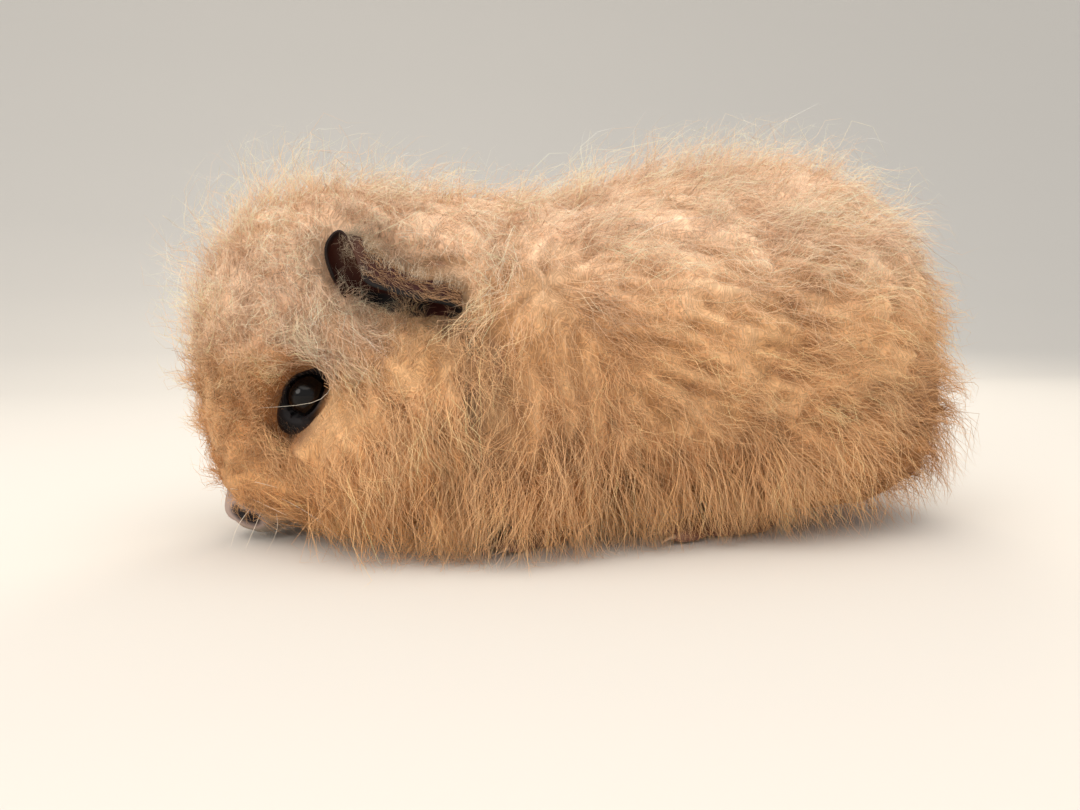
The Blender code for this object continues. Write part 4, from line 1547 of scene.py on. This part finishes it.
roots, along, stand, draw = sow(LID_HAIRS, eyelid_density, seed=15)
lengths = draw.uniform(1.6, 3.8, LID_HAIRS) * mm
stand = stand * 0.8
lid_hairs = grow(roots["root"], roots["way"], along, stand, lengths, LID_STEPS, astray=0.45, droop=0.1)
lid_hairs = strayed(frizzed(lid_hairs, draw, lengths * 0.08, (0.4, 1.1)), draw, STRAY)
tones = hair_colours(roots["outer"], LID_STEPS + 1, draw, 1, 0.9)
brown = smooth_step(bare_eye_share(roots["root"]), 0.75, 1.2)
brown = np.maximum(brown, 0.8 * (draw.random(LID_HAIRS) < 0.14))[:, None, None]
add_bands(
    "coat_lids",
    1,
    lid_hairs,
    np.full(LID_HAIRS, 0.045 * mm),
    LID_DARK + (tones - LID_DARK) * brown,
    roots["uv"],
    edge=0.58,
)

# %% [markdown]
# Along its lower edge the coat hangs down like a skirt, to just above the ground, and hides all
# of the feet but the tips of the hind toes.

# %% Grow the fringe
FRINGE, FRINGE_STEPS = 7400, 4
HEM = 0.5  # the height of the lower edge, in mm

roots, along, _, draw = sow(FRINGE, fringe_density, seed=14)
x, _, z = roots["root"].T / mm
back = smooth_step(x, 36, 66)[:, None]
along = unit(along * (0.45 + 0.9 * back) + DOWN * (1 - 0.6 * back))
full = 1.2 + 0.22 * (1 - smooth_step(x, 0, 16))
lengths = np.clip((z - HEM) * full, 3, 28) * mm * draw.uniform(0.6, 1.1, FRINGE)
stand = np.full(FRINGE, 0.42)
fringe = grow(roots["root"], roots["way"], along, stand, lengths, FRINGE_STEPS, astray=0.55, droop=0.8)
fringe = frizzed(fringe, draw, sized(lengths, 0.11, 0.3, 1.6), (0.9, 2.0))
fringe = kept_inside(strayed(fringe, draw, 0.8 * STRAY), (9.5 - 4.0 * back[:, 0]) * mm)
add_bands(
    "coat_fringe",
    1,
    fringe,
    sized(lengths, 0.0055, 0.04, 0.065),
    hair_colours(roots["outer"], FRINGE_STEPS + 1, draw, 1, 1.05),
    roots["uv"],
)

# %% [markdown]
# Over all of this float the wisps: single long hairs, paler and curlier than the rest, their paleness
# partly painted glow of light through them. They give the coat its soft, luminous edge.

# %% Grow the wisps
WISPS, WISP_STEPS = 6800, 6


def fluff(points):
    """1 on the crown, where the longest wisps grow, and 0.6 along the back."""
    x, _, z = points.T / mm
    return np.maximum((1 - smooth_step(x, -60, -42)) * smooth_step(z, 26, 56), 0.6 * smooth_step(z, 60, 80))


def wisp_density(points, ways):
    return body_density(points, ways) * (1 + 1.2 * fluff(points))


roots, along, stand, draw = sow(WISPS, wisp_density, seed=12)
stand = np.clip(stand * draw.uniform(0.8, 1.6, WISPS), 0.15, 1.0)
fluffy = fluff(roots["root"])
lengths = hair_lengths(roots, stand) * draw.uniform(0.9, 1.5, WISPS) * (1 + 0.9 * fluffy)
wisps = grow(roots["root"], roots["way"], along, stand, lengths, WISP_STEPS, astray=0.75, droop=0.25)
wisps = frizzed(wisps, draw, sized(lengths, 0.10, 0.15, 1.5), (0.8, 1.8))
wisps = strayed(wisps, draw, STRAY)
wisps = kept_inside(wisps, (2.2 + 5.5 * fluffy) * mm)
# Wisps are drawn paler, partly their own colour and partly painted glow of light through them.
add_bands(
    "coat_wisps",
    1,
    wisps,
    sized(lengths, 0.0045, 0.032, 0.055),
    hair_colours(roots["outer"], WISP_STEPS + 1, draw, 1, 1.14),
    roots["uv"],
    edge=1.7,
)

# %% [markdown]
# ## Hair of the ears
# The outside of the flap carries many short tan hairs that run back along it. A row of pale
# ones stands across its upper edge, and a few curly ones grow in front, inside the spoon.

# %% Grow the hair of the ears
def ear_frame(along, out, side):
    """Points of the ear's outer face, with its normal and the two ways along the sheet."""
    tiny = 0.01
    place = ear_surface(along, out, side)
    back = unit(ear_surface(along + tiny, out, side) - ear_surface(along - tiny, out, side))
    rimward = unit(ear_surface(along, out + tiny, side) - ear_surface(along, out - tiny, side))
    normal = unit(np.cross(back, rimward) * side)
    return place, normal, back, rimward


EAR_HAIRS = {
    # name: (how many, along from, to, out from, to, (normal, back, rimward), length, radius,
    # how far astray, colour); the normal is minus for hair inside the spoon
    "flap": (440, 0.34, 0.84, 0.60, 0.94, (0.25, 0.85, 0.35), 3.4, 0.042, 0.30, "C0946A"),
    "fringe": (220, 0.36, 0.88, 0.66, 0.80, (0.50, 0.10, -0.80), 2.8, 0.040, 0.30, "F0DCC0"),
    "fold": (380, 0.24, 0.44, 0.45, 0.98, (0.40, 0.35, 0.50), 3.0, 0.032, 0.90, "CDB89E"),
    "spoon": (150, 0.22, 0.36, 0.30, 0.96, (-0.40, 0.50, -0.40), 3.2, 0.030, 0.80, "B39D86"),
    "lobe": (26, 0.84, 0.97, 0.75, 0.98, (0.45, 0.20, 0.50), 1.6, 0.030, 0.40, "E0CDB2"),
}
EAR_STEPS, EAR_SWIRL = 5, 7

# %% [markdown]
# Below the ear, a collar of frizzy hair rises out of the cheek and covers the lower edge of the
# dark hollow. It is rooted on the underwool itself, on the left side, and mirrored.

# %% Grow the hair of both ears
COLLAR_HAIRS, COLLAR_LENGTH = 750, 6.5 * mm

x, y, z = felt.T / mm
low_edge = 52.0 - 0.25 * (x + 53)
collar = (y < -14) & (x > -66) & (x < -37) & (z > low_edge - 5.0) & (z < low_edge + 1.5)
collar_draw = np.random.default_rng(33)
collar = collar_draw.choice(np.flatnonzero(collar & (felt_normals[:, 1] < -0.2)), COLLAR_HAIRS)
collar_roots = felt[collar] + collar_draw.normal(size=(COLLAR_HAIRS, 3)) * (0.5, 0.0, 0.5) * mm

skin_tree = KDTree(len(skin_points))
for k, point in enumerate(skin_points):
    skin_tree.insert(point, k)
skin_tree.balance()
vertex_uv = np.zeros((len(skin_points), 2))
vertex_uv[corners.ravel()] = corner_uv.reshape(-1, 2)


def nearest_uv(paths):
    """The place on the skin's unwrap nearest to each hair's root."""
    return vertex_uv[[skin_tree.find(path[0])[1] for path in paths]]


ear_draw = np.random.default_rng(31)
for side, side_name in ((-1, "left"), (1, "right")):
    hairs = []  # for each kind: paths, radii, colours
    for count, a0, a1, o0, o1, way, length, radius, astray, code in EAR_HAIRS.values():
        place, normal, back, rimward = ear_frame(
            ear_draw.uniform(a0, a1, count), ear_draw.uniform(o0, o1, count), side
        )
        lead = unit(normal * way[0] + back * way[1] + rimward * way[2])
        lengths = length * mm * ear_draw.uniform(0.6, 1.3, count)
        root = place + normal * math.copysign(0.2 * mm, way[0])
        stand = np.full(count, 0.15)
        paths = grow(root, normal, lead, stand, lengths, EAR_STEPS, astray, droop=0.1, seed=EAR_SWIRL)
        paths = strayed(paths, ear_draw, 0.6 * astray)
        paths = frizzed(paths, ear_draw, lengths * (0.06 + 0.14 * astray), (0.6, 1.9))
        radii = np.full(count, radius * mm) * ear_draw.uniform(0.8, 1.2, count)
        tones = linear(code) * ear_draw.uniform(0.6, 1.1, (count, 1, 1))
        tones = tones * np.linspace(0.85, 1.1, EAR_STEPS + 1)[None, :, None]
        hairs.append((paths, radii, np.clip(tones, 0, 1)))
    root, normal = collar_roots * (1, -side, 1), felt_normals[collar] * (1, -side, 1)
    lead = unit(np.array((0.15, 0.4 * side, 0.8)) + ear_draw.normal(size=root.shape) * 0.75)
    lead = unit(lead - normal * (lead * normal).sum(1, keepdims=True))
    lengths = COLLAR_LENGTH * ear_draw.uniform(0.5, 1.2, COLLAR_HAIRS)
    stand = np.full(COLLAR_HAIRS, 0.6)
    root = root - normal * SUNK
    paths = grow(root, normal, lead, stand, lengths, EAR_STEPS, astray=0.8, droop=0.2, seed=EAR_SWIRL)
    paths = frizzed(paths, ear_draw, lengths * 0.18, (0.6, 1.8))
    tones = hair_colours(collar_roots * (1, -side, 1), EAR_STEPS + 1, ear_draw, 1, 1.0)
    tones = tones * ear_draw.uniform(0.6, 1.15, (COLLAR_HAIRS, 1, 1))
    hairs.append((paths, np.full(COLLAR_HAIRS, 0.04 * mm), tones))
    paths, radii, tones = (np.concatenate(kinds) for kinds in zip(*hairs))
    uv = nearest_uv(paths)
    uv = uv + ear_draw.normal(size=uv.shape) * 2 * PATCH
    name = f"ear_hair_{side_name}"
    add_coat_piece(name, hair_mesh(name, paths, radii, tones, uv), crimped_wool)

# %% [markdown]
# ## Whiskers
# The whiskers are thin, pale and springy. They fan out from the pads beside the nose. One long
# brow hair springs from the corner of the eye and curves forward across it, and a shorter one
# stands on the brow.

# %% Grow the whiskers
WHISKERS = (
    # root, middle and tip, then radius; all in mm, for one side
    ((-82.0, 7.6, 8.2), (-84.5, 12.0, 5.0), (-85.5, 16.5, 1.6), 0.10),
    ((-79.5, 8.6, 8.0), (-81.0, 14.0, 4.6), (-82.5, 19.0, 1.2), 0.10),
    ((-76.8, 9.2, 8.6), (-76.0, 16.5, 5.0), (-78.0, 24.0, 1.6), 0.09),
    ((-82.5, 7.8, 10.4), (-80.0, 13.0, 10.5), (-73.0, 19.0, 8.0), 0.09),
    ((-79.5, 9.0, 11.2), (-74.0, 16.0, 11.0), (-66.0, 22.0, 7.0), 0.09),
    ((-77.0, 9.6, 10.8), (-70.0, 17.0, 8.5), (-62.0, 24.0, 3.2), 0.09),
    ((-83.6, 7.2, 12.2), (-85.5, 13.0, 13.6), (-84.0, 20.0, 15.0), 0.08),
    ((-80.6, 8.8, 13.8), (-80.0, 15.0, 15.2), (-75.0, 22.0, 15.0), 0.08),
    ((-62.8, 19.4, 38.0), (-67.0, 23.2, 33.0), (-79.5, 21.0, 31.6), 0.07),
    ((-73.0, 15.6, 43.0), (-76.5, 19.6, 47.5), (-78.0, 22.0, 53.0), 0.08),
)
WHISKER_STEPS = 9
WHISKER_CREAM = linear("F1E7D6")

shares = np.linspace(0.0, 1.0, WHISKER_STEPS + 1)
for side, side_name in ((-1, "left"), (1, "right")):
    mirror = np.array((1.0, side, 1.0)) * mm
    paths = np.array([through(np.array(w[:3]) * mirror, shares) for w in WHISKERS])
    radii = np.array([w[3] for w in WHISKERS]) * mm
    tones = np.broadcast_to(WHISKER_CREAM, (*paths.shape[:2], 3))
    name = f"whiskers_{side_name}"
    add_coat_piece(name, hair_mesh(name, paths, radii, tones, nearest_uv(paths)), crimped_wool)

# %% [markdown]
# ## Claws
# Each toe ends in a small curved claw of clear, tan horn. A cone with a few rings along it is
# bent down at the tip.

# %% Model the claws
CLAW_RADIUS, CLAW_TIP, CLAW_SIDES, CLAW_RINGS, CLAW_BEND = 0.62 * mm, 0.06 * mm, 10, 6, 0.28

HORN_TAN = linear("B99A7E")

horn = new_finish("polished_horn", {"Base Color": rgba(HORN_TAN), "Roughness": 0.35, "IOR": 1.55})[0]
for side, side_name in ((-1, "left"), (1, "right")):
    for foot_name, foot in (("forefoot", FOREFOOT), ("hindfoot", HINDFOOT)):
        name = f"claws_{foot_name}_{side_name}"
        length = foot["claw"] * mm
        bm = bmesh.new()
        for root, ahead, reach in toe_rays(foot, side):
            cone = bmesh.new()
            bmesh.ops.create_cone(
                cone,
                cap_ends=True,
                segments=CLAW_SIDES,
                radius1=CLAW_RADIUS,
                radius2=CLAW_TIP,
                depth=length,
            )
            long_edges = [e for e in cone.edges if abs(e.verts[0].co.z - e.verts[1].co.z) > length / 2]
            bmesh.ops.subdivide_edges(cone, edges=long_edges, cuts=CLAW_RINGS)
            for vertex in cone.verts:
                vertex.co.x += CLAW_BEND * length * (vertex.co.z / length + 0.5) ** 2
            turn = ahead.to_track_quat("Z", "Y").to_matrix().to_4x4()
            down = turn.inverted() @ Vector((0, 0, -1))
            spin = Matrix.Rotation(math.atan2(down.y, down.x), 4, "Z")
            seat = root + ahead * (reach * 0.86 + length / 2) + Vector((0, 0, 0.25 * mm))
            bmesh.ops.transform(cone, matrix=Matrix.Translation(seat) @ turn @ spin, verts=cone.verts)
            bm.from_mesh(mesh_of(cone, "one_claw"))
        for vertex in bm.verts:
            vertex.co.z = max(vertex.co.z, 0.02 * mm)
        mesh = mesh_of(bm, name)
        dress(mesh, horn)
        claws = add_object(name, mesh)
        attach(claws, "root")

# %% Finish
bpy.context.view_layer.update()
shown = [o.data for o in bpy.data.objects if o.type == "MESH" and not o.hide_render]
total = sum(len(mesh.loops) - 2 * len(mesh.polygons) for mesh in shown)
print("triangles:", total)
